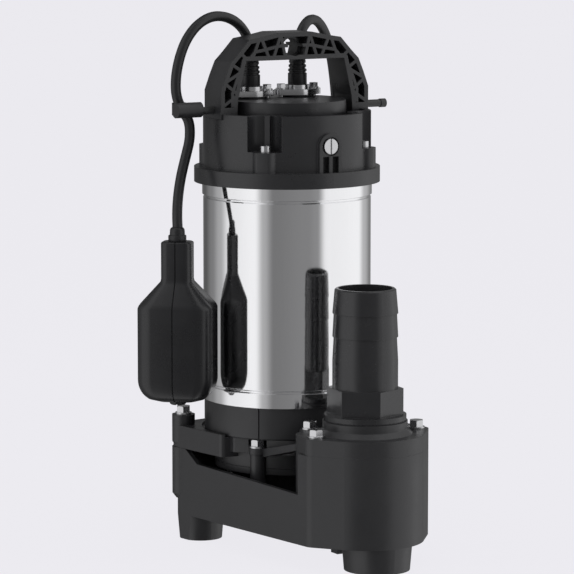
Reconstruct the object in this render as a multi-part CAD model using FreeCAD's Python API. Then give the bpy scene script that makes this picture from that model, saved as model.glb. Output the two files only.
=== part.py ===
import FreeCAD, Part
import math
import os

# Submersible sump pump: a vertical motor on a long suction base, with the discharge
# tower beside the motor, a carry handle over the cable entries and a float switch.
# Millimetres. +Z is up, the feet stand on Z = 0, and the discharge is on the +X side.

V = FreeCAD.Vector
UP = V(0, 0, 1)

# ---- overall sizes ----
axis_spacing = 122.5
height_to_motor = 90.0
motor_length = 173.5
head_flange_radius = 74.0
tower_radius = 46.0

# The origin is the middle of the overall length, so both axes follow from the sizes above.
motor_x = (head_flange_radius - axis_spacing - tower_radius) / 2
tower_x = motor_x + axis_spacing

# ---- clearances ----
running_gap = 0.05
bolt_gap = 0.3
slip_gap = 0.1
rotor_air_gap = 0.5

# ---- base casting: suction chamber under the motor, with the feet ----
base_wall = 4.0
skirt_z = 20.0
wall_cut_left_z = 63.5
wall_cut_right_z = 59.0
parting_z = 91.0
base_rear_radius = 66.0
corner_x = -40.0
corner_y = 66.0
corner_radius = 11.0
lug_x = -44.5
lug_y = 70.5
lug_radius = 9.2
lug_column_bottom_z = 32.0
lug_parting_z = 74.0
lug_top_z = 100.0
ear_top_z = 92.0
tower_lug_x = 2.5
tower_lug_y = 45.0
tower_lug_radius = 9.5
tower_top_z = 104.0
post_x = 37.0
post_y = 47.5
post_radius = 6.0
post_top_z = 83.0
rear_foot_x = -35.0
rear_foot_y = 60.0
rear_foot_radius = 19.0
front_foot_x = 18.5
front_foot_radius = 27.6
foot_draft = 2.0

# ---- strainer and suction ----
strainer_thickness = 3.0
strainer_z = 24.0
suction_radius = 22.0
cover_radius = 58.0
cover_thickness = 5.0
casing_wall = 4.0
volute_radius = 54.0
volute_bottom_z = 66.0
casing_flange_z = 78.0
outlet_width = 34.0
outlet_y = 31.0

# ---- discharge ----
boss_radius = 33.0
boss_height = 10.0
nipple_bore_radius = 21.0
barb_radius = 25.4
barb_step = 1.0
nipple_tip_radius = 23.8
nipple_collar_radius = 32.0
nipple_collar_height = 4.0
hex_circumradius = 29.8
hex_height = 20.5
hex_turn = -37.7
nipple_shank_length = 21.7
barb_pitch = 18.2
seal_thickness = 0.8

# ---- motor ----
can_radius = 66.8
can_wall = 1.2
can_groove = 0.9
can_band_height = 12.5
can_collar_height = 11.0
band_radius = 67.6
gasket_thickness = 0.8
motor_base_height = 25.5
oil_chamber_radius = 44.0
oil_plate_radius = 48.0
oil_plate_thickness = 4.2
shaft_radius = 8.5
shaft_end_radius = 7.5
impeller_shaft_radius = 6.0
lower_bearing_radius = 20.0
lower_bearing_width = 12.0
upper_bearing_radius = 17.5
upper_bearing_width = 11.0
rotor_radius = 35.5
stack_length = 75.0
stator_slots = 24
winding_height = 17.0

# ---- head ----
head_flange_height = 12.0
head_wall = 5.0
head_height = 56.0
platform_radius = 47.0
platform_rise = 9.0
recess_depth = 7.0
head_bolt_radius = 62.7
head_bolt_hole = 3.1
head_bolt_length = 42.0
head_boss_radius = 10.0
head_boss_height = 16.0
head_boss_reach = 5.0
pocket_radius = 14.0
plug_radius = 6.0
plug_height = 20.5

# ---- handle ----
handle_depth = 27.0
handle_skin = 3.6
handle_web = 3.0
handle_rib = 2.6
handle_hole_radius = 6.8
handle_hole_depth = 10.0
handle_foot_z = 341.0
hook_pin_radius = 3.0
hook_pin_reach = 89.6
hook_pin_z = 347.5

# ---- cable entries ----
gland_x = -21.0
gland_y = 21.4
gland_plate_height = 4.5
boot_radius = 7.6
boot_height = 30.0
cable_radius = 4.0

# ---- float switch ----
clip_radius = 6.0
clip_length = 22.0
clip_outer_y = -100.0
float_x = 8.0
float_y = -103.0
float_yaw = -39.0
float_bottom_z = 121.0
float_body_top_z = 196.0
float_neck_z = 214.0
float_top_z = 247.0
float_half_width = 29.8
float_half_depth = 23.0
float_corner = 13.0
float_neck_half_width = 12.2
float_neck_half_depth = 10.0
float_wall = 2.5

# ---- power cable coil and plug ----
coil_x = -139.0
coil_y = 90.0
coil_outer_radius = 76.0
coil_inner_radius = 35.0
coil_height = 25.0
plug_body_radius = 16.5
plug_body_length = 46.0
plug_neck_radius = 7.4
plug_pin_radius = 2.4
plug_pin_length = 17.5
plug_pin_spacing = 19.0

# ---- heights that follow ----
can_bottom_z = height_to_motor + motor_base_height
can_top_z = can_bottom_z + motor_length
flange_top_z = can_top_z + head_flange_height
head_rim_z = can_top_z + head_height
platform_z = head_rim_z + platform_rise
boss_top_z = tower_top_z + boss_height
collar_z = boss_top_z + seal_thickness
hex_bottom_z = collar_z + nipple_collar_height
hex_top_z = hex_bottom_z + hex_height
stack_z = can_bottom_z + 34.5
plug_back = V(motor_x + coil_x + 20.0, coil_y + 55.0, coil_height + plug_body_radius + running_gap)

solids = {}


def fuse(shapes):
    """One solid from a list of overlapping shapes."""
    result = shapes[0]
    if len(shapes) > 1:
        result = shapes[0].fuse(shapes[1:])
    return result.removeSplitter()


def cut(shape, tools):
    """The shape with every tool taken away."""
    for tool in tools:
        shape = shape.cut(tool)
    return shape.removeSplitter()


def rod(x, y, z_low, z_high, radius):
    """A vertical cylinder placed from the motor axis."""
    return Part.makeCylinder(radius, z_high - z_low, V(motor_x + x, y, z_low), UP)


def ring(x, y, z_low, z_high, outer, inner):
    """A vertical ring placed from the motor axis."""
    return rod(x, y, z_low, z_high, outer).cut(rod(x, y, z_low - 1, z_high + 1, inner))


def cone(x, y, z_low, z_high, radius_low, radius_high):
    """A vertical cone placed from the motor axis."""
    return Part.makeCone(radius_low, radius_high, z_high - z_low, V(motor_x + x, y, z_low), UP)


def block(x_low, x_high, y_low, y_high, z_low, z_high):
    """A box between two corners, placed from the motor axis."""
    corner = V(motor_x + x_low, y_low, z_low)
    return Part.makeBox(x_high - x_low, y_high - y_low, z_high - z_low, corner)


def revolve(points, x=0.0, y=0.0):
    """A full turn of a closed (radius, height) outline about a vertical axis."""
    outline = [V(motor_x + x + r, y, z) for r, z in points]
    face = Part.Face(Part.makePolygon(outline + outline[:1]))
    return face.revolve(V(motor_x + x, y, 0), UP, 360)


def belt(circles, z_low, z_high, shrink=0.0):
    """A prism whose outline is a belt stretched round (x, y, radius) circles, anticlockwise."""
    rounds = [(V(motor_x + x, y, z_low), radius - shrink) for x, y, radius in circles]
    tangents = []
    for index, (centre, radius) in enumerate(rounds):
        other, other_radius = rounds[(index + 1) % len(rounds)]
        run = other - centre
        lean = math.asin((radius - other_radius) / run.Length)
        angle = math.atan2(run.y, run.x) - math.pi / 2 + lean
        normal = V(math.cos(angle), math.sin(angle), 0)
        tangents.append((centre + normal * radius, other + normal * other_radius, angle))
    edges = []
    for index, (start, end, angle) in enumerate(tangents):
        centre, radius = rounds[index]
        before = tangents[index - 1]
        turn = (angle - before[2]) % (2 * math.pi)
        middle = centre + V(math.cos(before[2] + turn / 2), math.sin(before[2] + turn / 2), 0) * radius
        edges.append(Part.Arc(before[1], middle, start).toShape())
        edges.append(Part.LineSegment(start, end).toShape())
    face = Part.Face(Part.Wire(edges))
    return face.extrude(V(0, 0, z_high - z_low))


def side_plate(points, y_low, y_high):
    """A prism along Y from a closed (x, z) outline, placed from the motor axis."""
    outline = [V(motor_x + x, y_low, z) for x, z in points]
    face = Part.Face(Part.makePolygon(outline + outline[:1]))
    return face.extrude(V(0, y_high - y_low, 0))


def hexagon(x, y, z_low, z_high, circumradius, turn=0.0):
    """A hexagonal prism with one face pointing along the turn angle."""
    corners = []
    for step in range(6):
        angle = math.radians(turn + 30 + 60 * step)
        corners.append(V(motor_x + x + circumradius * math.cos(angle), y + circumradius * math.sin(angle), z_low))
    face = Part.Face(Part.makePolygon(corners + corners[:1]))
    return face.extrude(V(0, 0, z_high - z_low))


def turned(shape, angle):
    """The shape turned about the motor axis."""
    copy = shape.copy()
    copy.rotate(V(motor_x, 0, 0), UP, angle)
    return copy


def hex_bolt(x, y, seat_z, length, size):
    """A bolt whose head sits on its washer at seat_z, and whose shank goes down."""
    washer_height = size * 0.25
    washer = rod(x, y, seat_z, seat_z + washer_height, size * 1.1)
    head_z = seat_z + washer_height
    head = hexagon(x, y, head_z, head_z + size * 0.85, size * 0.96)
    head = head.common(cone(x, y, head_z, head_z + size * 0.85, size * 1.35, size * 0.88))
    shank = rod(x, y, seat_z - length, seat_z + washer_height, size / 2)
    return fuse([washer, head, shank])


def pan_screw(x, y, seat_z, length, size):
    """A socket cap screw standing on seat_z."""
    head = rod(x, y, seat_z, seat_z + size, size * 0.85)
    socket = hexagon(x, y, seat_z + size * 0.4, seat_z + size + 1, size * 0.48)
    shank = rod(x, y, seat_z - length, seat_z + 0.1, size / 2)
    return fuse([cut(head, [socket]), shank])


def from_axis(points):
    """Route points given from the motor axis, as places in the row's own frame."""
    return [V(motor_x + x, y, z) for x, y, z in points]


def cable_tube(name, points, radius):
    """A round cable along straight runs joined by tangent arcs."""
    places = from_axis(points)
    edges = []
    radii = []
    start = places[0]
    for before, corner, after in zip(places, places[1:], places[2:]):
        run_in = corner - before
        run_out = after - corner
        reach = 0.45 * min(run_in.Length, run_out.Length)
        turn = run_in.getAngle(run_out)
        radii.append(reach / math.tan(turn / 2))
        enter = corner - V(run_in).normalize() * reach
        leave = corner + V(run_out).normalize() * reach
        bisector = (V(run_out).normalize() - V(run_in).normalize()).normalize()
        centre = corner + bisector * (radii[-1] / math.cos(turn / 2))
        middle = centre - bisector * radii[-1]
        edges.append(Part.LineSegment(start, enter).toShape())
        edges.append(Part.Arc(enter, middle, leave).toShape())
        start = leave
    edges.append(Part.LineSegment(start, places[-1]).toShape())
    path = Part.Wire(edges)
    circle = Part.makeCircle(radius, places[0], places[1] - places[0])
    tube = path.makePipeShell([Part.Wire([circle])], True, False)
    expected = math.pi * radius ** 2 * path.Length
    print(name, "length %.1f" % path.Length, "volume ratio %.4f" % (tube.Volume / expected))
    print("   bend radii", " ".join("%.0f" % value for value in radii))
    return tube


# ---- outlines shared by the castings ----
base_outline = [
    (0.0, 0.0, base_rear_radius),
    (corner_x, -corner_y, corner_radius),
    (axis_spacing + tower_lug_x, -tower_lug_y, tower_lug_radius),
    (axis_spacing, 0.0, tower_radius),
    (axis_spacing + tower_lug_x, tower_lug_y, tower_lug_radius),
    (corner_x, corner_y, corner_radius),
]
tower_outline = [
    (axis_spacing - 12.0, -tower_lug_y + 8.0, tower_lug_radius + 6.0),
    (axis_spacing + tower_lug_x, -tower_lug_y, tower_lug_radius),
    (axis_spacing, 0.0, tower_radius),
    (axis_spacing + tower_lug_x, tower_lug_y, tower_lug_radius),
    (axis_spacing - 12.0, tower_lug_y - 8.0, tower_lug_radius + 6.0),
]
shoulder_outline = [
    (0.0, 0.0, base_rear_radius - 4.0),
    (lug_x + 8.0, -lug_y + 9.0, lug_radius),
    (20.0, -57.0, 4.0),
    (48.0, -20.0, 14.0),
    (48.0, 20.0, 14.0),
    (20.0, 57.0, 4.0),
    (lug_x + 8.0, lug_y - 9.0, lug_radius),
]
tower_left = axis_spacing + tower_lug_x - tower_lug_radius
bolt_size = 6.0
lug_bolts = [(lug_x, side * lug_y, lug_top_z) for side in (-1, 1)]
post_bolts = [(post_x, side * post_y, post_top_z) for side in (-1, 1)]
tower_bolts = [(axis_spacing + tower_lug_x, side * tower_lug_y, tower_top_z) for side in (-1, 1)]
inner_tower_bolts = [(axis_spacing - 44.0, side * 24.0, tower_top_z - 2.0) for side in (-1, 1)]


def make_pump_base():
    """The lower casting: a low skirt wall, lug columns, posts, the tower's shell and the feet."""
    shell = belt(base_outline, skirt_z, parting_z)
    inside = belt(base_outline, skirt_z - 1, parting_z + 1, base_wall)
    left_slope = [
        (-200.0, lug_parting_z - slip_gap),
        (corner_x + 8.0, lug_parting_z - slip_gap),
        (corner_x + 24.0, wall_cut_left_z),
        (tower_left, wall_cut_right_z),
        (tower_left, parting_z + 1),
        (-200.0, parting_z + 1),
    ]
    walls = shell.cut(inside).cut(side_plate(left_slope, -200, 200))
    tower = belt(tower_outline, skirt_z, parting_z)
    tower = tower.cut(belt(tower_outline, skirt_z - 1, parting_z + 1, base_wall))
    parts = [walls, tower]
    for side in (-1, 1):
        parts.append(rod(lug_x, side * lug_y, lug_column_bottom_z + 4, lug_parting_z, lug_radius))
        parts.append(cone(lug_x, side * lug_y, lug_column_bottom_z, lug_column_bottom_z + 4, lug_radius - 3, lug_radius))
        parts.append(rod(post_x, side * post_y, strainer_z + strainer_thickness, casing_flange_z, post_radius))
        parts.append(block(post_x - 2, post_x + 2, *sorted((side * post_y, side * 64.0)), strainer_z + 6, 50.0))
        parts.append(rod(axis_spacing + tower_lug_x, side * tower_lug_y, 60.0, parting_z, tower_lug_radius - 1.0))
        parts.append(cone(rear_foot_x, side * rear_foot_y, 0, skirt_z + 4, rear_foot_radius - foot_draft, rear_foot_radius))
    parts.append(cone(axis_spacing + front_foot_x, 0, 0, skirt_z + 4, front_foot_radius - foot_draft, front_foot_radius))
    parts.append(block(86.0, 96.0, -9.0, 9.0, 4.0, skirt_z + 4))
    ledge = belt(base_outline, skirt_z, strainer_z, 1.0).cut(belt(base_outline, skirt_z - 1, strainer_z + 1, base_wall + 4.0))
    parts.append(ledge)
    body = fuse(parts)
    keep = belt(base_outline, -1, parting_z + 1)
    columns = [rod(lug_x, side * lug_y, lug_column_bottom_z, lug_parting_z, lug_radius) for side in (-1, 1)]
    body = body.common(fuse([keep] + columns))
    holes = [sump_shape(slip_gap), outlet_shape(slip_gap), deck_shape(slip_gap)]
    for x, y, top in lug_bolts + tower_bolts:
        holes.append(rod(x, y, top - 52.0, top, bolt_size / 2))
    for x, y, top in post_bolts:
        holes.append(rod(x, y, top - 40.0, top, bolt_size / 2))
    for x, y in strainer_screw_places:
        holes.append(rod(x, y, skirt_z - 1, strainer_z + 20, 1.75))
    return cut(body, holes)


def sump_shape(gap):
    """The round chamber under the tower's top, grown by a gap."""
    radius = tower_radius - base_wall - 1.0 + gap
    return rod(axis_spacing, 0, volute_bottom_z - 8.0 - gap, tower_top_z, radius)


def outlet_shape(gap):
    """The straight outlet from the volute into the tower, grown by a gap."""
    reach = outlet_width / 2 + casing_wall + gap
    return block(0, axis_spacing, outlet_y - reach, outlet_y + reach, volute_bottom_z - gap, height_to_motor)


def deck_shape(gap):
    """The thin sloping deck from the near post up to the tower's top, its underside grown by a gap."""
    edge = [
        (post_x - 4.0, post_top_z - 6.5 - gap),
        (post_x - 4.0, post_top_z),
        (post_x + 8.0, post_top_z),
        (tower_left + 2.0, tower_top_z - 4.0),
        (tower_left + 2.0, tower_top_z - 9.0 - gap),
        (post_x + 8.0, post_top_z - 6.5 - gap),
    ]
    return side_plate(edge, -post_y + 1.0 - gap, outlet_y)


strainer_screw_places = [(axis_spacing - 40.0, -30.0), (axis_spacing - 40.0, 30.0), (rear_foot_x, -48.0), (rear_foot_x, 48.0)]


def make_strainer_plate():
    """The slotted plate over the base's open bottom."""
    plate = belt(base_outline, strainer_z, strainer_z + strainer_thickness, base_wall + slip_gap)
    tools = [rod(x, y, strainer_z - 1, strainer_z + 9, 1.75 + bolt_gap) for x, y in strainer_screw_places]
    for side in (-1, 1):
        tools.append(rod(axis_spacing + tower_lug_x, side * tower_lug_y, 0, 90, tower_lug_radius))
    for column in range(-3, 8):
        for row in range(-2, 3):
            x = column * 14.0
            if math.hypot(x, row * 20.0) < 52.0 or (column > 3 and column < 7 and abs(row) < 2):
                slot = block(x - 2.5, x + 2.5, row * 20.0 - 7.5, row * 20.0 + 7.5, strainer_z - 1, strainer_z + 9)
                tools.append(slot)
    tools.append(tower_footprint(strainer_z - 1, strainer_z + 9, slip_gap))
    return cut(plate, tools)


def tower_footprint(z_low, z_high, gap):
    """The tower's outline with a gap round it, to clear what stands beside the tower."""
    return belt(tower_outline, z_low, z_high, -gap)


def make_strainer_screws():
    """The four screws that hold the strainer plate from below."""
    screws = []
    for x, y in strainer_screw_places[2:] + strainer_screw_places[:2]:
        head = rod(x, y, strainer_z + strainer_thickness, strainer_z + strainer_thickness + 2.5, 3.2)
        shank = rod(x, y, strainer_z - 3.5, strainer_z + strainer_thickness + 0.1, 1.75)
        screws.append(fuse([head, shank]))
    return Part.makeCompound(screws)


def make_suction_cover():
    """The round plate that closes the volute from below, with the suction eye."""
    top = volute_bottom_z - slip_gap
    plate = rod(0, 0, top - cover_thickness, top, cover_radius)
    collar = rod(0, 0, top - 22.0, top, suction_radius + 4.0)
    lip = cone(0, 0, top - 26.0, top - 22.0, suction_radius + 7.0, suction_radius + 4.0)
    tools = [rod(0, 0, 0, 90, suction_radius)]
    for angle in cover_screw_angles:
        tools.append(turned(rod(volute_radius - 0.5, 0, 0, 90, 2.0 + bolt_gap), angle))
    for side in (-1, 1):
        tools.append(rod(post_x, side * post_y, 0, 90, post_radius + slip_gap))
    return cut(fuse([plate, collar, lip]), tools)


cover_screw_angles = (0, 90, 180, 270)


def make_cover_screws():
    """The screws that hold the suction cover to the volute."""
    screws = []
    seat = volute_bottom_z - slip_gap - cover_thickness
    for angle in cover_screw_angles:
        head = rod(volute_radius - 0.5, 0, seat - 3.0, seat, 3.6)
        shank = rod(volute_radius - 0.5, 0, seat - 0.1, seat + 14.0, 2.0)
        screws.append(turned(fuse([head, shank]), angle))
    return Part.makeCompound(screws)


def make_volute_casing():
    """The upper casting: the volute round the impeller, its outlet and the tower's top."""
    roof_z = height_to_motor
    drum = rod(0, 0, volute_bottom_z, roof_z, volute_radius + casing_wall)
    shoulder = belt(shoulder_outline, casing_flange_z, roof_z)
    cap = belt(tower_outline, parting_z, tower_top_z)
    boss = rod(axis_spacing, 0, tower_top_z, boss_top_z, boss_radius)
    fillet = cone(axis_spacing, 0, tower_top_z, tower_top_z + 4.0, boss_radius + 4.0, boss_radius)
    parts = [drum, shoulder, outlet_shape(0), sump_shape(0), cap, boss, fillet, deck_shape(0)]
    for side in (-1, 1):
        parts.append(rod(post_x, side * post_y, casing_flange_z, post_top_z, post_radius + 1.0))
        parts.append(rod(lug_x, side * lug_y, lug_parting_z + 4.0, lug_top_z, lug_radius))
        parts.append(cone(lug_x, side * lug_y, lug_parting_z, lug_parting_z + 4.0, lug_radius - 2.5, lug_radius))
        circles = [(-58.0, side * 12.0, 6.0), (lug_x, side * lug_y, lug_radius - 1.0), (14.0, side * 66.0, 4.0),
                   (14.0, side * 40.0, 6.0)]
        if side < 0:
            circles.reverse()
        ear = belt(circles[::-1], lug_parting_z, ear_top_z)
        parts.append(ear)
    for x, y, top in inner_tower_bolts:
        parts.append(rod(x, y, roof_z - 6.0, top, 8.0))
    body = fuse(parts)
    tools = [
        rod(0, 0, volute_bottom_z - 1, roof_z - casing_wall, volute_radius),
        block(20.0, axis_spacing - 20.0, outlet_y - outlet_width / 2, outlet_y + outlet_width / 2,
              volute_bottom_z + casing_wall, roof_z - casing_wall),
        rod(axis_spacing, 0, volute_bottom_z - 4.0, parting_z + 3.0, tower_radius - base_wall - 5.0),
        rod(axis_spacing, 0, parting_z, boss_top_z + 1, nipple_bore_radius + 1.0),
        rod(0, 0, roof_z - 10, roof_z + 1, seal_hole_radius),
        ring(0, 0, roof_z, tower_top_z + 20, 68.5, 1.0),
    ]
    for x, y, top in lug_bolts + post_bolts + tower_bolts:
        tools.append(rod(x, y, 0, top + 1, bolt_size / 2 + bolt_gap))
    for x, y, top in inner_tower_bolts:
        tools.append(rod(x, y, top - 14.0, top + 1, bolt_size / 2))
    for x, y, top in post_bolts:
        tools.append(rod(x, y, top, top + 20.0, bolt_size * 1.1 + 1.0))
        tools.append(rod(x, y, 0, casing_flange_z, post_radius + slip_gap))
    for angle in cover_screw_angles:
        tools.append(turned(rod(volute_radius - 0.5, 0, 0, volute_bottom_z + 9.0, 2.0), angle))
    return cut(body, tools)


seal_hole_radius = 24.0


def add(name, shape):
    """Keep the shape under its node name."""
    solids[name] = shape


def make_impeller():
    """A semi-open impeller: a hub, a back plate and curved vanes below it."""
    back_z = volute_bottom_z + 15.0
    hub = cone(0, 0, back_z - 13.0, back_z + 3.0, 11.0, 15.0)
    plate = rod(0, 0, back_z, back_z + 3.0, 38.0)
    vane_arc = ring(0, 30.0, back_z - 10.0, back_z + 1.0, 26.5, 23.5)
    vane_arc = vane_arc.common(block(0, 60, -6, 60, 0, 200)).common(rod(0, 0, 0, 200, 37.5))
    vanes = [turned(vane_arc, 45 * step) for step in range(8)]
    bore = rod(0, 0, 0, 200, impeller_shaft_radius)
    return cut(fuse([hub, plate] + vanes), [bore])


def make_motor_base():
    """The casting between pump and motor: oil chamber below, bearing seat above."""
    low = height_to_motor + gasket_thickness
    body = rod(0, 0, low, can_bottom_z, can_radius - 0.6)
    spigot = rod(0, 0, can_bottom_z, can_bottom_z + 9.5, can_radius - can_wall - slip_gap)
    hub = rod(0, 0, can_bottom_z, can_bottom_z + 11.0, lower_bearing_radius + 5.0)
    tools = [
        rod(0, 0, low - 1, low + oil_plate_thickness, oil_plate_radius),
        rod(0, 0, low, can_bottom_z - 5.0, oil_chamber_radius),
        rod(0, 0, low, can_bottom_z + 30, shaft_radius + 4.0),
        rod(0, 0, can_bottom_z - 1.0, can_bottom_z + 30, lower_bearing_radius),
        ring(0, 0, can_bottom_z + 3.0, can_bottom_z + 30, can_radius - 8.0, lower_bearing_radius + 5.0),
        block(can_radius - 8, can_radius + 2, -0.4, 0.4, low - 1, can_bottom_z),
    ]
    tools[-1] = turned(tools[-1], -49.0)
    return cut(fuse([body, spigot, hub]), tools)


def make_motor_shell():
    """The drawn steel can, with a rolled groove near each end."""
    low = can_bottom_z
    high = can_top_z
    inner = can_radius - can_wall
    band_z = low + can_band_height
    collar = high - can_collar_height
    outline = [
        (inner, low),
        (band_radius, low),
        (band_radius, band_z - 1.0),
        (can_radius - can_groove, band_z - 0.6),
        (can_radius - can_groove, band_z + 0.6),
        (can_radius, band_z + 1.4),
        (can_radius, collar - 1.4),
        (can_radius - can_groove, collar - 0.6),
        (can_radius - can_groove, collar + 0.6),
        (band_radius, collar + 1.2),
        (band_radius, high),
        (inner, high),
    ]
    return revolve(outline)


def make_stator_core():
    """The laminated stack with its slots."""
    top = stack_z + stack_length
    inner = rotor_radius + rotor_air_gap
    core = ring(0, 0, stack_z, top, can_radius - can_wall - slip_gap, inner)
    tools = []
    for step in range(stator_slots):
        mouth = block(inner - 1, inner + 4, -1.0, 1.0, stack_z - 1, top + 1)
        slot = block(inner + 3, inner + 16, -2.4, 2.4, stack_z - 1, top + 1)
        tools.append(turned(mouth.fuse(slot), 360.0 / stator_slots * step))
    return core.cut(Part.makeCompound(tools))


def make_windings():
    """The coil heads above and below the stack, and the copper in the slots."""
    inner = rotor_radius + rotor_air_gap
    top = stack_z + stack_length
    rings = []
    for z in (stack_z - winding_height, top):
        coil_head = ring(0, 0, z, z + winding_height, inner + 18.0, inner + 4.5)
        rings.append(coil_head)
    bars = []
    for step in range(stator_slots):
        bar = block(inner + 5, inner + 15.5, -2.1, 2.1, stack_z - 0.5, top + 0.5)
        bars.append(turned(bar, 360.0 / stator_slots * step))
    return fuse(rings + bars)


def make_shaft():
    """The stepped shaft, from the impeller nut up to the upper bearing."""
    outline = [
        (0, 53.0),
        (impeller_shaft_radius - 1.0, 53.0),
        (impeller_shaft_radius - 1.0, volute_bottom_z + 1.0),
        (impeller_shaft_radius, volute_bottom_z + 1.0),
        (impeller_shaft_radius, volute_bottom_z + 18.0),
        (shaft_end_radius, volute_bottom_z + 18.0),
        (shaft_end_radius, can_bottom_z - 6.0),
        (shaft_radius, can_bottom_z - 6.0),
        (shaft_radius, can_bottom_z + 12.0),
        (shaft_radius + 3.0, can_bottom_z + 12.0),
        (shaft_radius + 3.0, upper_bearing_z - 1.0),
        (shaft_end_radius, upper_bearing_z - 1.0),
        (shaft_end_radius, upper_bearing_z + 13.0),
        (0, upper_bearing_z + 13.0),
    ]
    return revolve(outline)


upper_bearing_z = can_top_z - 26.0
bracket_z = can_top_z - 27.0


def make_bracket():
    """The upper bearing bracket, clamped under the head."""
    rim = ring(0, 0, can_top_z - 18.0, can_top_z - 6.0, can_radius - can_wall - slip_gap, can_radius - 8.0)
    disc = rod(0, 0, can_top_z - 18.0, can_top_z - 14.0, can_radius - 7.0)
    hub = rod(0, 0, bracket_z, can_top_z - 13.0, upper_bearing_radius + 4.0)
    parts = [rim, disc, hub]
    for angle in head_bolt_angles:
        parts.append(turned(rod(head_bolt_radius - 6.5, 0, can_top_z - 18.0, can_top_z - 6.0, 8.0), angle))
    body = fuse(parts).common(rod(0, 0, 0, 500, can_radius - can_wall - slip_gap))
    tools = [
        rod(0, 0, upper_bearing_z, upper_bearing_z + upper_bearing_width + 1.2, upper_bearing_radius),
        rod(0, 0, 0, 500, shaft_end_radius + 5.0),
    ]
    for angle in range(0, 360, 60):
        tools.append(turned(rod(38.0, 0, 0, 500, 8.0), angle + 20))
    for angle in head_bolt_angles:
        tools.append(turned(rod(head_bolt_radius, 0, 0, 500, 2.5), angle))
    return cut(body, tools)


head_bolt_angles = (45, 135, 225, 315)


def make_head_cover():
    """The plastic head: flange, bolt pockets, cable platform and the handle's seats."""
    wall = rod(0, 0, can_top_z - 5.0, head_rim_z, can_radius)
    flange = rod(0, 0, can_top_z, flange_top_z, head_flange_radius)
    platform = rod(0, 0, head_rim_z - recess_depth, platform_z, platform_radius)
    spigot_cut = ring(0, 0, can_top_z - 6, can_top_z, can_radius + 9, can_radius - can_wall - slip_gap)
    recess = rod(0, 0, head_rim_z - recess_depth, head_rim_z + 1, can_radius - head_wall)
    shell = fuse([cut(wall, [recess]), flange, platform]).cut(spigot_cut)
    pockets = []
    for angle in head_bolt_angles:
        pocket = rod(head_bolt_radius + 5.0, 0, flange_top_z + head_boss_height, platform_z + 20, pocket_radius)
        pockets.append(turned(pocket, angle))
    shell = shell.cut(Part.makeCompound(pockets))
    walls = []
    ribs = []
    for angle in head_bolt_angles:
        back = rod(head_bolt_radius + 5.0, 0, flange_top_z + head_boss_height - 3.0, head_rim_z, pocket_radius + 4.0)
        back = back.cut(rod(head_bolt_radius + 5.0, 0, 0, 900, pocket_radius)).common(rod(0, 0, 0, 900, can_radius))
        walls.append(turned(back, angle))
        boss = rod(head_bolt_radius, 0, can_top_z - 5.0, flange_top_z + head_boss_height, head_boss_radius)
        boss = boss.common(rod(0, 0, 0, 900, can_radius + head_boss_reach)).cut(spigot_cut)
        walls.append(turned(boss, angle))
        rib = block(head_bolt_radius - 10.5, head_bolt_radius - 5.0, -2.2, 2.2, flange_top_z, head_rim_z)
        ribs.append(turned(rib, angle))
    cavity = rod(0, 0, can_top_z - 6, head_rim_z - recess_depth - 4.0, can_radius - head_wall)
    cavity = cavity.fuse(rod(0, 0, head_rim_z - 12.0, platform_z - 4.5, platform_radius - 4.0))
    keep_out = []
    for angle in head_bolt_angles:
        column = rod(head_bolt_radius + 5.0, 0, 0, 900, pocket_radius + 4.0)
        keep_out.append(turned(column, angle))
    cavity = cavity.cut(Part.makeCompound(keep_out))
    body = fuse([shell.cut(cavity)] + walls + ribs)
    plug_z = flange_top_z + plug_height
    pad = block(can_radius - 6.0, can_radius + 2.6, -10.0, 10.0, flange_top_z - 3.0, plug_z)
    pad_top = Part.makeCylinder(10.0, 8.6, V(motor_x + can_radius - 6.0, 0, plug_z), V(1, 0, 0))
    body = fuse([body, pad, pad_top])
    tools = []
    for side in (-1, 1):
        slot = block(can_radius - 2.0, can_radius + 4.0, *sorted((side * 1.5, side * 7.0)), flange_top_z, plug_z - 8.0)
        tools.append(slot)
        tools.append(block(-handle_depth / 2 - slip_gap, handle_depth / 2 + slip_gap,
                           *sorted((side * 48.0, side * 80.0)), handle_foot_z, 500.0))
        tools.append(rod(gland_x, side * gland_y, head_rim_z - 20, platform_z + 9, cable_radius + 2.5))
        for screw_x, screw_y in handle_screw_places:
            tools.append(rod(screw_x, side * screw_y, handle_foot_z - 20.0, handle_foot_z + 1, 2.5 + bolt_gap))
        for screw_side in (-1, 1):
            tools.append(rod(gland_x, side * gland_y + screw_side * gland_screw_offset, platform_z - 11, platform_z + 1, 2.0))
    bore = Part.makeCylinder(plug_radius + 1.4, 3.0, V(motor_x + can_radius + 0.6, 0, plug_z), V(1, 0, 0))
    thread = Part.makeCylinder(4.0, 30.0, V(motor_x + can_radius - 9.0, 0, plug_z), V(1, 0, 0))
    tools += [bore, thread]
    for angle in head_bolt_angles:
        tools.append(turned(rod(head_bolt_radius, 0, 0, flange_top_z + head_boss_height + 1, head_bolt_hole), angle))
    return cut(body, tools)


handle_screw_places = [(-7.0, 58.5), (7.0, 58.5)]
gland_screw_offset = 15.0


def make_head_gasket():
    """The flat gasket between the head and the bearing bracket."""
    gasket = ring(0, 0, can_top_z - 6.0, can_top_z - 5.0, can_radius - can_wall - slip_gap, can_radius - 9.5)
    return cut(gasket, [turned(rod(head_bolt_radius, 0, 0, 500, head_bolt_hole), angle) for angle in head_bolt_angles])


def make_vent_plug():
    """The slotted plug screw in its counterbored boss."""
    plug_z = flange_top_z + plug_height
    face = motor_x + can_radius + 0.6
    head = Part.makeCylinder(plug_radius, 2.6, V(face, 0, plug_z), V(1, 0, 0))
    stem = Part.makeCylinder(4.0, 9.0, V(face - 8.9, 0, plug_z), V(1, 0, 0))
    slot = Part.makeBox(1.4, 1.3, 14.0, V(face + 1.6, -0.65, plug_z - 7.0))
    return cut(fuse([head, stem]), [slot])


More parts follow.
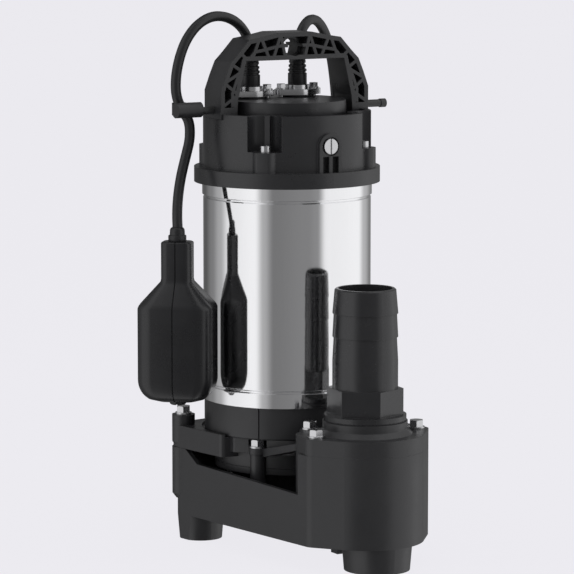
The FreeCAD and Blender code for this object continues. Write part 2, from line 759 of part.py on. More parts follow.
def handle_face(points, x):
    """A flat face across X from a closed (y, z) outline."""
    outline = [V(motor_x + x, y, z) for y, z in points]
    return Part.Face(Part.makePolygon(outline + outline[:1]))


def make_handle():
    """The carry handle: an arch of two skins and a middle rib, tied by slanting ribs on a thin web."""
    outer_half = [(67.0, handle_foot_z), (67.0, 363.0), (62.5, 375.0), (58.0, 385.5),
                  (51.0, 392.5), (41.5, 402.8), (30.0, 404.6), (15.0, 407.6)]
    inner_half = [(52.5, handle_foot_z), (51.5, 356.0), (44.5, 386.0)]
    outer = outer_half + [(-y, z) for y, z in reversed(outer_half)]
    inner = [(52.5, handle_foot_z - 2)] + inner_half[1:]
    inner = inner + [(-y, z) for y, z in reversed(inner)]
    x_low = -handle_depth / 2
    arch = handle_face(outer, x_low).cut(handle_face(inner, x_low))
    inside = handle_face(outer, x_low).makeOffset2D(-handle_skin)
    window = handle_face(inner, x_low).makeOffset2D(handle_skin)
    cells = inside.cut(window)
    middle_out = handle_face(outer, x_low).makeOffset2D(-handle_skin - 5.6)
    middle_in = handle_face(outer, x_low).makeOffset2D(-handle_skin - 5.6 - handle_rib)
    middle_rib = middle_out.cut(middle_in)
    solid = arch.extrude(V(handle_depth, 0, 0))
    hollow = cells.extrude(V(handle_depth, 0, 0))
    hollow = hollow.cut(middle_rib.extrude(V(handle_depth, 0, 0)))
    ribs = []
    zigzag = [((8.0, 384.0), (14.0, 409.0)), ((21.0, 384.0), (12.0, 409.0)), ((22.0, 384.0), (33.0, 409.0)),
              ((40.0, 384.0), (30.0, 409.0)), ((40.0, 384.0), (54.0, 397.0)), ((45.0, 376.0), (60.0, 386.0)),
              ((46.0, 379.0), (66.0, 368.0)), ((49.0, 358.0), (67.0, 372.0)), ((50.0, 361.0), (68.0, 349.0))]
    for (y_in, z_in), (y_out, z_out) in zigzag:
        for side in (-1, 1):
            start = V(motor_x + x_low, side * y_in, z_in)
            along = V(0, side * (y_out - y_in), z_out - z_in)
            across = V(0, -along.z, along.y).normalize() * (handle_rib / 2)
            corners = [start - across, start + along - across, start + along + across, start + across]
            face = Part.Face(Part.makePolygon(corners + corners[:1]))
            ribs.append(face.extrude(V(handle_depth, 0, 0)))
    hollow = hollow.cut(Part.makeCompound(ribs))
    hole_centre = V(motor_x - handle_depth, 0, 395.5)
    ring_start = V(motor_x - handle_hole_depth / 2, 0, hole_centre.z)
    ring_wall = Part.makeCylinder(handle_hole_radius + handle_rib, handle_hole_depth, ring_start, V(1, 0, 0))
    hollow = hollow.cut(ring_wall)
    web_gap = block(-handle_web / 2, handle_web / 2, -100, 100, 300, 500)
    hollow = hollow.cut(web_gap)
    foot_blocks = [block(-20, 20, *sorted((side * 50.0, side * 70.0)), handle_foot_z - 1, handle_foot_z + 9.0) for side in (-1, 1)]
    hollow = hollow.cut(Part.makeCompound(foot_blocks))
    tools = [hollow, Part.makeCylinder(handle_hole_radius, 2 * handle_depth, hole_centre, V(1, 0, 0))]
    for side in (-1, 1):
        for x, y in handle_screw_places:
            tools.append(rod(x, side * y, handle_foot_z - 1, handle_foot_z + 8.0, 2.5))
        pin_hole = Part.makeCylinder(hook_pin_radius, 20.0, V(motor_x, side * 54.0, hook_pin_z), V(0, side, 0))
        tools.append(pin_hole)
    return cut(solid, tools)


def make_hook_pins():
    """The two cable hook pins, each with a rounded end cap."""
    pins = []
    for side in (-1, 1):
        pin = Part.makeCylinder(hook_pin_radius, hook_pin_reach - 54.2, V(motor_x, side * 54.2, hook_pin_z), V(0, side, 0))
        cap = Part.makeCylinder(hook_pin_radius + 0.5, 5.0, V(motor_x, side * (hook_pin_reach - 4.0), hook_pin_z), V(0, side, 0))
        pins.append(fuse([pin, cap]))
    return Part.makeCompound(pins)


def make_clip():
    """The clip on the hook pin: a barrel on the pin and a jaw that grips the cable behind it."""
    barrel = Part.makeCylinder(clip_radius, clip_length, V(motor_x, clip_outer_y, hook_pin_z + 1.0), V(0, 1, 0))
    jaw = block(-clip_jaw_reach, 0, -94.5, -84.0, hook_pin_z - 4.0, hook_pin_z + 6.0)
    tools = [
        Part.makeCylinder(hook_pin_radius + 0.5, 13.0, V(motor_x, -hook_pin_reach - 1.0, hook_pin_z), V(0, 1, 0)),
        Part.makeCylinder(hook_pin_radius + 0.1, 40.0, V(motor_x, -hook_pin_reach, hook_pin_z), V(0, 1, 0)),
    ]
    channel_start = from_axis([upper_route[-3], upper_route[-2]])
    along = channel_start[1] - channel_start[0]
    start = channel_start[0] - along
    tools.append(Part.makeCylinder(cable_radius + 0.1, along.Length * 3, start, along))
    return cut(fuse([barrel, jaw]), tools)


clip_jaw_reach = 16.5

# ---- cable routes, from the motor axis ----
upper_route = [
    (-21.0, -21.4, 386.0),
    (-21.4, -22.4, 398.0),
    (-21.6, -27.5, 409.5),
    (-20.0, -40.0, 418.5),
    (-17.0, -57.0, 421.0),
    (-14.5, -72.0, 415.0),
    (-12.5, -83.5, 403.5),
    (-11.6, -90.5, 388.5),
    (-11.2, -94.0, 372.5),
    (-11.0, -93.6, 358.0),
    (-11.0, -87.5, 346.4),
    (-11.0, -81.8, 338.6),
    (-10.9, -81.0, 330.8),
]
swing_x = -10.8
swing_y = -81.4
swing_z = 325.0
lower_route = [
    (swing_x, swing_y, swing_z),
    (-9.9, -85.6, 312.0),
    (-7.6, -91.2, 297.0),
    (-3.4, -96.2, 282.0),
    (2.2, -100.2, 267.5),
    (float_x - 0.6, float_y + 0.8, 254.0),
    (float_x, float_y, 244.0),
]
power_route = [
    (-21.0, 21.4, 386.0),
    (-21.2, 22.2, 397.0),
    (-22.6, 26.5, 408.0),
    (-27.0, 36.0, 415.5),
    (-34.0, 48.5, 413.0),
    (-42.5, 61.0, 400.0),
    (-50.5, 71.0, 379.0),
    (-55.6, 78.0, 345.0),
    (-57.0, 79.5, 295.0),
    (-57.4, 79.0, 240.0),
    (-58.6, 78.2, 185.0),
    (-61.4, 78.6, 132.0),
    (-64.4, 82.0, 88.0),
    (-66.4, 89.0, 53.0),
    (-68.0, 99.5, 24.0),
    (-69.0, 112.0, 8.6),
    (-72.4, 127.6, 4.4),
]


def make_gland_plate(side):
    """A pressed flange plate with an upstanding ring round the boot."""
    y = side * gland_y
    end = gland_screw_offset - 0.5
    plate = belt([(gland_x, y - end, 6.0), (gland_x + 0.1, y, 12.5), (gland_x, y + end, 6.0), (gland_x - 0.1, y, 12.5)],
                 platform_z + 1.6, platform_z + 1.6 + gland_plate_height)
    collar = rod(gland_x, y, platform_z + 1.6, platform_z + 9.5, boot_radius + 2.0)
    tools = [rod(gland_x, y, platform_z, platform_z + 30, boot_radius)]
    for screw_side in (-1, 1):
        tools.append(rod(gland_x, y + screw_side * gland_screw_offset, platform_z, platform_z + 30, 2.0 + bolt_gap))
    return cut(fuse([plate, collar]), tools)


def make_gland_seal(side):
    """The rubber washer under a gland plate."""
    y = side * gland_y
    seal = rod(gland_x, y, platform_z, platform_z + 1.6, 12.0)
    return cut(seal, [rod(gland_x, y, platform_z - 1, platform_z + 30, cable_radius + 2.5)])


def make_boot(side):
    """The rubber boot that grips the cable above its gland."""
    y = side * gland_y
    low = platform_z + 1.6
    outline = [
        (0, low),
        (boot_radius, low),
        (boot_radius, low + boot_height - 2.0),
        (boot_radius - 1.6, low + boot_height),
        (0, low + boot_height),
    ]
    return revolve(outline, gland_x, y)


def make_gland_screws():
    """The four screws of the two gland plates."""
    seat = platform_z + 1.6 + gland_plate_height
    screws = []
    for side in (-1, 1):
        for screw_side in (-1, 1):
            screws.append(hex_bolt(gland_x, side * gland_y + screw_side * gland_screw_offset, seat, 12.0, 4.0))
    return Part.makeCompound(screws)


def make_nipple():
    """The hose nipple: a collar, a hexagon and three barbs on a plain shank."""
    collar = rod(axis_spacing, 0, collar_z, hex_bottom_z, nipple_collar_radius)
    nut = hexagon(axis_spacing, 0, hex_bottom_z, hex_top_z, hex_circumradius, hex_turn)
    nut = nut.common(cone(axis_spacing, 0, hex_bottom_z, hex_top_z + 40, hex_circumradius + 16.0, hex_circumradius - 22.0))
    outline = [(nipple_bore_radius, collar_z), (barb_radius - barb_step, collar_z)]
    outline += [(barb_radius - barb_step, hex_top_z - 1.0), (barb_radius, hex_top_z - 1.0)]
    height = hex_top_z + nipple_shank_length
    outline.append((barb_radius, height))
    for step in range(3):
        tip = barb_radius - barb_step if step < 2 else nipple_tip_radius
        if step > 0:
            outline.append((barb_radius, height))
        height += barb_pitch
        outline.append((tip, height))
    outline.append((nipple_tip_radius - 1.2, height + 1.0))
    outline.append((nipple_bore_radius, height + 1.0))
    stem = revolve(outline, axis_spacing, 0)
    thread = ring(axis_spacing, 0, tower_top_z - 6.0, collar_z + 1, nipple_bore_radius + 1.0 - slip_gap, nipple_bore_radius - 1.5)
    body = fuse([collar, nut, stem, thread])
    return cut(body, [rod(axis_spacing, 0, collar_z, height + 9, nipple_bore_radius),
                      rod(axis_spacing, 0, tower_top_z - 9, collar_z + 1, nipple_bore_radius - 1.5)])


def float_section(half_width, half_depth, corner, z):
    """One level of the float: a rounded rectangle, turned to hang as the float does."""
    edges = []
    w = half_width
    d = half_depth
    c = corner
    bulge = c * (1 - math.sqrt(0.5))
    ends = [((d - c, -w), (d - bulge, -w + bulge), (d, -w + c)), ((d, w - c), (d - bulge, w - bulge), (d - c, w)),
            ((-d + c, w), (-d + bulge, w - bulge), (-d, w - c)), ((-d, -w + c), (-d + bulge, -w + bulge), (-d + c, -w))]
    for index, (start, middle, end) in enumerate(ends):
        nxt = ends[(index + 1) % 4][0]
        edges.append(Part.Arc(V(*start, z), V(*middle, z), V(*end, z)).toShape())
        edges.append(Part.LineSegment(V(*end, z), V(*nxt, z)).toShape())
    return Part.Wire(edges)


def float_form(shrink):
    """The float's outside, or with a shrink its hollow, standing at the origin's axis."""
    levels = [
        (float_half_width - 16.0, float_half_depth - 12.0, 7.0, float_bottom_z + shrink),
        (float_half_width - 4.5, float_half_depth - 4.0, 11.0, float_bottom_z + 6.5),
        (float_half_width, float_half_depth, float_corner, float_bottom_z + 18.0),
        (float_half_width, float_half_depth, float_corner, float_body_top_z),
        (float_neck_half_width, float_neck_half_depth, 6.0, float_neck_z + 4.0),
        (float_neck_half_width, float_neck_half_depth, 6.0, float_top_z - shrink),
    ]
    pieces = []
    for low, high in zip(levels, levels[1:]):
        wires = [float_section(w - shrink, d - shrink, max(c - shrink, 1.5), z) for w, d, c, z in (low, high)]
        pieces.append(Part.makeLoft(wires, True, True))
    return fuse(pieces)


def hang(shape):
    """Turn a float piece about its own axis and put it where the float hangs."""
    copy = shape.copy()
    copy.rotate(V(0, 0, 0), UP, float_yaw)
    copy.translate(V(motor_x + float_x, float_y, 0))
    return copy


def make_float_half(side):
    """One moulded half of the float, on one side of the seam."""
    outside = float_form(0.0)
    nub = Part.makeCylinder(6.5, 4.0, V(0, 0, float_bottom_z - 3.0), UP)
    half = Part.makeBox(200, 100, 200, V(-100, 0 if side > 0 else -100, float_bottom_z - 10))
    shell = fuse([outside, nub]).cut(float_form(float_wall)).common(half)
    shell = shell.cut(Part.makeCylinder(cable_radius + 2.0, 60, V(0, 0, float_top_z - 12), UP))
    if side > 0:
        groove = Part.makeBox(200, 0.5, 200, V(-100, 0, float_bottom_z - 10))
        rim = float_form(1.0)
        shell = shell.cut(groove.cut(rim))
    return hang(shell)


ball_radius = 7.0
track_z = 130.0
track_height = 48.0


def make_ball_track():
    """The capped tube inside the float in which the switching ball runs."""
    tube = Part.makeCylinder(ball_radius + 2.3, track_height, V(0, 0, track_z), UP)
    hollow = Part.makeCylinder(ball_radius + 0.3, track_height - 4.0, V(0, 0, track_z + 2.0), UP)
    return tube.cut(hollow)


def make_float_boot():
    """The rubber boot that closes the float's neck round the cable."""
    boot = Part.makeCone(6.4, 5.2, 11.0, V(0, 0, float_top_z), UP)
    plug = Part.makeCylinder(cable_radius + 1.8, 8.0, V(0, 0, float_top_z - 8.0), UP)
    return boot.fuse(plug).removeSplitter()


def make_microswitch():
    """The switch above the ball track, with its lever facing the ball."""
    case = Part.makeBox(16.0, 20.0, 11.0, V(-8.0, -10.0, track_z + track_height + 2.0))
    lever = Part.makeBox(2.0, 14.0, 2.0, V(-1.0, -7.0, track_z + track_height))
    return fuse([case, lever])


def make_coil():
    """The outer shape of the wound cable: a low ring on the floor."""
    return ring(coil_x, coil_y, 0, coil_height, coil_outer_radius, coil_inner_radius)


def make_plug_body():
    """The plug lying on the coil: a tapered boot and a round body."""
    outline = [
        (0.0, 0.0),
        (cable_radius + 1.6, 0.0),
        (plug_neck_radius, 16.0),
        (plug_neck_radius + 3.0, 19.0),
        (plug_body_radius, 27.0),
        (plug_body_radius, plug_body_length),
        (0.0, plug_body_length),
    ]
    corners = [V(plug_back.x - along, plug_back.y, plug_back.z + radius) for radius, along in outline]
    face = Part.Face(Part.makePolygon(corners + corners[:1]))
    return face.revolve(plug_back, V(1, 0, 0), 360)


def make_plug_pins():
    """The two round pins of the plug."""
    pins = []
    for side in (-1, 1):
        start = plug_back - V(plug_body_length, side * plug_pin_spacing / 2, 0)
        pins.append(Part.makeCylinder(plug_pin_radius, plug_pin_length, start, V(-1, 0, 0)))
    return Part.makeCompound(pins)


add("pump_base", make_pump_base())
add("strainer_plate", make_strainer_plate())
add("strainer_screws", make_strainer_screws())
add("suction_cover", make_suction_cover())
add("suction_cover_screws", make_cover_screws())
add("volute_casing", make_volute_casing())
add("casing_bolts", Part.makeCompound([hex_bolt(x, y, z, 36.0, bolt_size) for x, y, z in lug_bolts + post_bolts + tower_bolts]))
add("tower_screws", Part.makeCompound([hex_bolt(x, y, z, 12.0, bolt_size) for x, y, z in inner_tower_bolts]))
add("motor_gasket", ring(0, 0, height_to_motor, height_to_motor + gasket_thickness, can_radius - 1.5, oil_plate_radius + 1.0))
add("nipple_seal", ring(axis_spacing, 0, boss_top_z, collar_z, boss_radius - 1.0, nipple_bore_radius + 2.0))
add("hose_nipple", make_nipple())
add("impeller", make_impeller())
nut_top = volute_bottom_z + 1.0
add("impeller_washer", ring(0, 0, nut_top - 1.5, nut_top + 1.0, 9.0, impeller_shaft_radius))
add("impeller_nut", hexagon(0, 0, nut_top - 10.0, nut_top - 1.5, 9.2).cut(rod(0, 0, 0, 200, impeller_shaft_radius - 1.0)))
oil_plate_z = height_to_motor + gasket_thickness
add("oil_chamber_plate", ring(0, 0, oil_plate_z, oil_plate_z + oil_plate_thickness, oil_plate_radius - slip_gap, 14.0))
seal_face_z = oil_plate_z + 5.2
add("seal_seat", ring(0, 0, oil_plate_z - 1.0, seal_face_z, 13.9, shaft_end_radius + 0.6))
add("seal_ring", ring(0, 0, seal_face_z + 0.1, seal_face_z + 5.0, 12.5, shaft_end_radius))
add("seal_bellows", ring(0, 0, seal_face_z + 5.0, seal_face_z + 11.5, 11.5, shaft_end_radius))
add("lip_seal", ring(0, 0, can_bottom_z - 5.0, can_bottom_z - 1.2, shaft_radius + 3.9, shaft_radius + running_gap))
add("motor_base", make_motor_base())
add("lower_bearing", ring(0, 0, can_bottom_z - 1.0, can_bottom_z - 1.0 + lower_bearing_width,
                          lower_bearing_radius, shaft_radius + running_gap))
add("motor_shell", make_motor_shell())
add("stator_core", make_stator_core())
add("stator_windings", make_windings())
add("shaft", make_shaft())
add("rotor_core", ring(0, 0, stack_z, stack_z + stack_length, rotor_radius, shaft_radius + 3.0))
end_rings = [ring(0, 0, z, z + 7.0, rotor_radius - 2.0, rotor_radius - 16.0) for z in (stack_z - 7.0, stack_z + stack_length)]
add("rotor_end_rings", Part.makeCompound(end_rings))
add("upper_bearing_bracket", make_bracket())
add("upper_bearing", ring(0, 0, upper_bearing_z, upper_bearing_z + upper_bearing_width,
                          upper_bearing_radius, shaft_end_radius + running_gap))
add("head_gasket", make_head_gasket())
add("head_cover", make_head_cover())
add("head_bolts", Part.makeCompound([turned(pan_screw(head_bolt_radius, 0, flange_top_z + head_boss_height, head_bolt_length, 5.0), angle)
                                     for angle in head_bolt_angles]))
add("vent_plug", make_vent_plug())
add("carry_handle", make_handle())
handle_screws = []
for handle_side in (-1, 1):
    for screw_x, screw_y in handle_screw_places:
        shank = rod(screw_x, handle_side * screw_y, handle_foot_z - 7.2, handle_foot_z + 7.5, 2.5)
        screw_head = rod(screw_x, handle_side * screw_y, handle_foot_z - 10.2, handle_foot_z - 7.1, 2.8)
        handle_screws.append(fuse([shank, screw_head]))
add("handle_screws", Part.makeCompound(handle_screws))
add("cable_hook_pins", make_hook_pins())
add("float_cable_clip", make_clip())
for side_name, side in (("float", -1), ("power", 1)):
    add(side_name + "_gland_seal", make_gland_seal(side))
    add(side_name + "_gland_plate", make_gland_plate(side))
    add(side_name + "_cable_boot", make_boot(side))
add("gland_screws", make_gland_screws())
add("run_capacitor", Part.makeCylinder(14.0, 34.0, V(motor_x + 24.0, -17.0, flange_top_z - 4.0), V(0, 1, 0)))
add("terminal_block", block(-44.0, -30.0, -16.0, 16.0, flange_top_z - 2.0, flange_top_z + 16.0))
add("float_cable_upper", cable_tube("float_cable_upper", upper_route, cable_radius))
float_cable_lower = cable_tube("float_cable_lower", lower_route, cable_radius)
knuckle = Part.makeSphere(cable_radius, V(motor_x + swing_x, swing_y, swing_z))
add("float_cable_lower", fuse([float_cable_lower, knuckle]))
add("float_shell_left", make_float_half(-1))
add("float_shell_right", make_float_half(1))
add("float_boot", hang(make_float_boot()).cut(float_cable_lower))
add("float_ball_track", hang(make_ball_track()))
add("float_ball", hang(Part.makeSphere(ball_radius, V(0, 0, track_z + 2.1 + ball_radius))))
add("float_microswitch", hang(make_microswitch()))
add("power_cable", cable_tube("power_cable", power_route, cable_radius))
add("power_cable_coil", make_coil())
add("plug_body", make_plug_body())
add("plug_pins", make_plug_pins())

for node, shape in solids.items():
    if not shape.isValid():
        print("not valid:", node)

os.makedirs("parts", exist_ok=True)
for node, shape in solids.items():
    shape.exportStep("parts/%s.step" % node)
print(len(solids), "nodes")
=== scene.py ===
import math

import bmesh
import bpy
from bpy.props import FloatProperty, FloatVectorProperty, PointerProperty
from mathutils import Matrix, Vector


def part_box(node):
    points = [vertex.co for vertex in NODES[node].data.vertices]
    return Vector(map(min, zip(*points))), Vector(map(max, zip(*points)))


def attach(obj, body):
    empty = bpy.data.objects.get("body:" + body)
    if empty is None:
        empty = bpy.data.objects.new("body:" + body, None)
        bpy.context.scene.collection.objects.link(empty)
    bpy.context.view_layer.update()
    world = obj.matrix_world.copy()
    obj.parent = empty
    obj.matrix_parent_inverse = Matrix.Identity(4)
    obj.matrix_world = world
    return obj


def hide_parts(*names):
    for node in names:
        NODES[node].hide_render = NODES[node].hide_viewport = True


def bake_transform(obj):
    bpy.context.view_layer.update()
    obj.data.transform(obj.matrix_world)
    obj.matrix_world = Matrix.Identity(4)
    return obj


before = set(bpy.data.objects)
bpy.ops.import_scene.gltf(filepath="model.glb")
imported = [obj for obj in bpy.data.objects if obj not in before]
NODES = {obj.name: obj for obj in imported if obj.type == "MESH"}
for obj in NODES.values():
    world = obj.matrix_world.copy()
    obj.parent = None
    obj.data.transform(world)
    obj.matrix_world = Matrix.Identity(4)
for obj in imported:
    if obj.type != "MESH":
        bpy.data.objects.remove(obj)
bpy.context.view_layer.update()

bl_info = {
    "name": "Submersible pump finishes",
    "version": (1, 0, 0),
    "blender": (4, 5, 0),
    "location": "3D View > Sidebar > Pump",
    "description": "Cables, rubber parts and surface finishes for a submersible pump",
    "category": "Object",
}

CAN_LOW, CAN_HIGH = (Vector(corner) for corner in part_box("motor_shell"))
MOTOR_X = (CAN_LOW.x + CAN_HIGH.x) / 2
MM = 0.001

# Cable routes, from the motor axis in millimetres. They repeat the routes of the part's source.
FLOAT_ROUTE_UPPER = [
    (-21.0, -21.4, 386.0),
    (-21.4, -22.4, 398.0),
    (-21.6, -27.5, 409.5),
    (-20.0, -40.0, 418.5),
    (-17.0, -57.0, 421.0),
    (-14.5, -72.0, 415.0),
    (-12.5, -83.5, 403.5),
    (-11.6, -90.5, 388.5),
    (-11.2, -94.0, 372.5),
    (-11.0, -93.6, 358.0),
    (-11.0, -87.5, 346.4),
    (-11.0, -81.8, 338.6),
]
FLOAT_ROUTE_LOWER = [
    (-10.8, -81.4, 325.0),
    (-9.9, -85.6, 312.0),
    (-7.6, -91.2, 297.0),
    (-3.4, -96.2, 282.0),
    (2.2, -100.2, 267.5),
    (7.4, -102.2, 254.0),
    (8.0, -103.0, 244.0),
]
POWER_ROUTE = [
    (-21.0, 21.4, 386.0),
    (-21.2, 22.2, 397.0),
    (-22.6, 26.5, 408.0),
    (-27.0, 36.0, 415.5),
    (-34.0, 48.5, 413.0),
    (-42.5, 61.0, 400.0),
    (-50.5, 71.0, 379.0),
    (-55.6, 78.0, 345.0),
    (-57.0, 79.5, 295.0),
    (-57.4, 79.0, 240.0),
    (-58.6, 78.2, 185.0),
    (-61.4, 78.6, 132.0),
    (-64.4, 82.0, 88.0),
    (-66.4, 89.0, 53.0),
    (-68.0, 99.5, 24.0),
    (-69.0, 112.0, 8.6),
]
COIL_CENTRE = (-139.0, 90.0)
COIL_OUTER_TURN = 71.5
COIL_PITCH = 8.2
COIL_LAYERS = 3
COIL_LAYER_TURNS = 4.0
COIL_LAST_TURN_SHORT = 0.25
COIL_CLIMB_TURNS = 0.2
COIL_FIRST_Z = 4.2
COIL_POINTS_PER_TURN = 14
COIL_START_ANGLE = 60.0
PLUG_ROUTE = [(-98.0, 122.0, 33.0), (-106.0, 136.0, 39.5), (-119.0, 145.0, 41.5)]


class PumpFinishSettings(bpy.types.PropertyGroup):
    """Sizes and colours that a user would change"""
    casting_colour: FloatVectorProperty(
        name="Casting colour", description="Paint on the pump castings", subtype="COLOR",
        default=(0.018, 0.018, 0.019), min=0.0, max=1.0)
    head_colour: FloatVectorProperty(
        name="Head colour", description="Moulded head and handle", subtype="COLOR",
        default=(0.016, 0.016, 0.017), min=0.0, max=1.0)
    nipple_colour: FloatVectorProperty(
        name="Nipple colour", description="Moulded hose nipple", subtype="COLOR",
        default=(0.015, 0.015, 0.016), min=0.0, max=1.0)
    steel_colour: FloatVectorProperty(
        name="Steel colour", description="Polished steel of the motor can", subtype="COLOR",
        default=(0.86, 0.86, 0.87), min=0.0, max=1.0)
    rubber_colour: FloatVectorProperty(
        name="Rubber colour", description="Cables and boots", subtype="COLOR",
        default=(0.009, 0.009, 0.010), min=0.0, max=1.0)
    float_colour: FloatVectorProperty(
        name="Float colour", description="Moulded float", subtype="COLOR",
        default=(0.008, 0.008, 0.009), min=0.0, max=1.0)
    floor_colour: FloatVectorProperty(
        name="Floor colour", description="Floor and backdrop as the camera sees them", subtype="COLOR",
        default=(0.83, 0.82, 0.862), min=0.0, max=1.0)
    cable_diameter: FloatProperty(
        name="Cable diameter", description="Outer diameter of both cables", default=0.008, unit="LENGTH")
    camera_azimuth: FloatProperty(
        name="Camera azimuth", description="Turn of the camera about the pump", default=math.radians(60.5),
        subtype="ANGLE", unit="ROTATION")
    camera_elevation: FloatProperty(
        name="Camera elevation", description="Height angle of the camera", default=math.radians(7.5),
        subtype="ANGLE", unit="ROTATION")
    camera_distance: FloatProperty(
        name="Camera distance", description="From the camera to its target", default=2.8, unit="LENGTH")
    camera_height: FloatProperty(
        name="Target height", description="Height of the camera's target", default=0.2033, unit="LENGTH")


def settings():
    """The sizes and colours in the scene's own panel."""
    return bpy.context.scene.pump_finish


# ---- materials ----
# The middle of a noise texture's values, which is the part that varies over a surface.
NOISE_LOW = 0.3
NOISE_HIGH = 0.7
# A wave texture at scale 1 has about this many bands in each metre.
WAVE_BANDS = 3.2


class Nodes:
    """A material's node tree, with a short way to add and join nodes."""

    def __init__(self, name):
        old = bpy.data.materials.get(name)
        self.material = old or bpy.data.materials.new(name)
        self.material.use_nodes = True
        self.tree = self.material.node_tree
        self.tree.nodes.clear()
        self.out = self.add("ShaderNodeOutputMaterial")
        self.shader = self.add("ShaderNodeBsdfPrincipled")
        self.join(self.shader, "BSDF", self.out, "Surface")

    def add(self, kind, **values):
        node = self.tree.nodes.new(kind)
        for key, value in values.items():
            if key in node.inputs:
                node.inputs[key].default_value = value
            else:
                setattr(node, key, value)
        return node

    def join(self, source, output, target, name):
        self.tree.links.new(source.outputs[output], target.inputs[name])

    def place(self, scale=(1.0, 1.0, 1.0)):
        """Object coordinates in metres, stretched by a scale."""
        coordinates = self.add("ShaderNodeTexCoord")
        mapping = self.add("ShaderNodeMapping", Scale=scale)
        self.join(coordinates, "Object", mapping, "Vector")
        return mapping

    def noise(self, place, size, detail=3.0, roughness=0.55):
        """Noise whose grains are about size metres across."""
        noise = self.add("ShaderNodeTexNoise", Scale=1.0 / size, Detail=detail, Roughness=roughness)
        self.join(place, "Vector", noise, "Vector")
        return noise

    def spread(self, source, output, low, high):
        """Map a 0 to 1 value to a narrower range."""
        spread = self.add("ShaderNodeMapRange")
        spread.inputs["From Min"].default_value = NOISE_LOW
        spread.inputs["From Max"].default_value = NOISE_HIGH
        spread.inputs["To Min"].default_value = low
        spread.inputs["To Max"].default_value = high
        self.join(source, output, spread, "Value")
        return spread

    def tint(self, source, output, colour, amount):
        """A colour that varies a little either way with the source."""
        mix = self.add("ShaderNodeMix", data_type="RGBA")
        factor, darker, lighter = mix.inputs[0], mix.inputs[6], mix.inputs[7]
        darker.default_value = tuple(channel * (1 - amount) for channel in colour) + (1.0,)
        lighter.default_value = tuple(min(1.0, channel * (1 + amount)) for channel in colour) + (1.0,)
        self.tree.links.new(source.outputs[output], factor)
        self.tree.links.new(mix.outputs[2], self.shader.inputs["Base Color"])
        return mix

    def bump(self, source, output, depth, rounding=0.0):
        """Raise the surface by the source, on edges rounded off by a small radius."""
        bump = self.add("ShaderNodeBump", Strength=1.0, Distance=depth)
        self.join(source, output, bump, "Height")
        if rounding > 0:
            bevel = self.add("ShaderNodeBevel", samples=4, Radius=rounding)
            self.join(bevel, "Normal", bump, "Normal")
        self.join(bump, "Normal", self.shader, "Normal")
        return bump


def moulded(name, colour, roughness, grain=0.0006, depth=0.00003, rounding=0.0008, blotch=0.02):
    """Moulded or painted surface: a fine grain, slightly uneven gloss and soft edges."""
    nodes = Nodes(name)
    place = nodes.place()
    fine = nodes.noise(place, grain, 3.0)
    broad = nodes.noise(place, blotch, 4.0)
    nodes.tint(broad, "Fac", colour, 0.12)
    gloss = nodes.spread(broad, "Fac", roughness - 0.05, roughness + 0.06)
    nodes.join(gloss, "Result", nodes.shader, "Roughness")
    nodes.shader.inputs["Specular IOR Level"].default_value = 0.5
    nodes.bump(fine, "Fac", depth, rounding)
    return nodes.material


def metal(name, colour, roughness, stretch=(1.0, 1.0, 1.0), grain=0.001, depth=0.000004, rounding=0.0003,
          tint=0.05):
    """Bare metal with fine marks drawn out along one direction."""
    nodes = Nodes(name)
    place = nodes.place(stretch)
    marks = nodes.noise(place, grain, 4.0)
    nodes.shader.inputs["Metallic"].default_value = 1.0
    nodes.tint(marks, "Fac", colour, tint)
    gloss = nodes.spread(marks, "Fac", roughness * 0.75, roughness * 1.3)
    nodes.join(gloss, "Result", nodes.shader, "Roughness")
    nodes.bump(marks, "Fac", depth, rounding)
    return nodes.material


def wound(name, colour, roughness, pitch):
    """Wire or plate packed in layers: even bands across Z."""
    nodes = Nodes(name)
    place = nodes.place()
    bands = nodes.add("ShaderNodeTexWave", wave_type="BANDS", bands_direction="Z",
                      Scale=1.0 / pitch / WAVE_BANDS, Distortion=0.6)
    nodes.join(place, "Vector", bands, "Vector")
    nodes.shader.inputs["Metallic"].default_value = 0.8
    nodes.tint(bands, "Fac", colour, 0.35)
    gloss = nodes.spread(bands, "Fac", roughness, roughness + 0.15)
    nodes.join(gloss, "Result", nodes.shader, "Roughness")
    nodes.bump(bands, "Fac", 0.0001)
    return nodes.material


def rubber_material():
    """Black rubber of the cables and boots."""
    return moulded("cable_rubber", settings().rubber_colour, 0.42, grain=0.0004, depth=0.00002, rounding=0.0)


def finish_nodes(material, *names):
    """Give the material to the CAD nodes of these names."""
    for name in names:
        node = NODES[name]
        if not node.material_slots:
            node.data.materials.append(material)
        for slot in node.material_slots:
            slot.material = material


# ---- pieces ----
MERGE_DISTANCE = 0.00001
SHARP_ANGLE = math.radians(38)


def new_piece(name, mesh, body, material):
    """A mesh piece with its material and body."""
    piece = bpy.data.objects.new(name, mesh)
    bpy.context.scene.collection.objects.link(piece)
    mesh.materials.clear()
    mesh.materials.append(material)
    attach(piece, body)
    return piece


def from_bmesh(name, shape):
    """A mesh from a finished bmesh, smooth but for its real edges."""
    bmesh.ops.remove_doubles(shape, verts=shape.verts, dist=MERGE_DISTANCE)
    bmesh.ops.recalc_face_normals(shape, faces=shape.faces)
    mesh = bpy.data.meshes.new(name)
    shape.to_mesh(mesh)
    shape.free()
    mesh.shade_smooth()
    mesh.set_sharp_from_angle(angle=SHARP_ANGLE)
    return mesh


def skin(shape, rings):
    """Faces between rings of points, with a face over each end."""
    loops = [[shape.verts.new(point) for point in ring] for ring in rings]
    for low, high in zip(loops, loops[1:]):
        for index in range(len(low)):
            after = (index + 1) % len(low)
            shape.faces.new((low[index], low[after], high[after], high[index]))
    shape.faces.new(list(reversed(loops[0])))
    shape.faces.new(loops[-1])


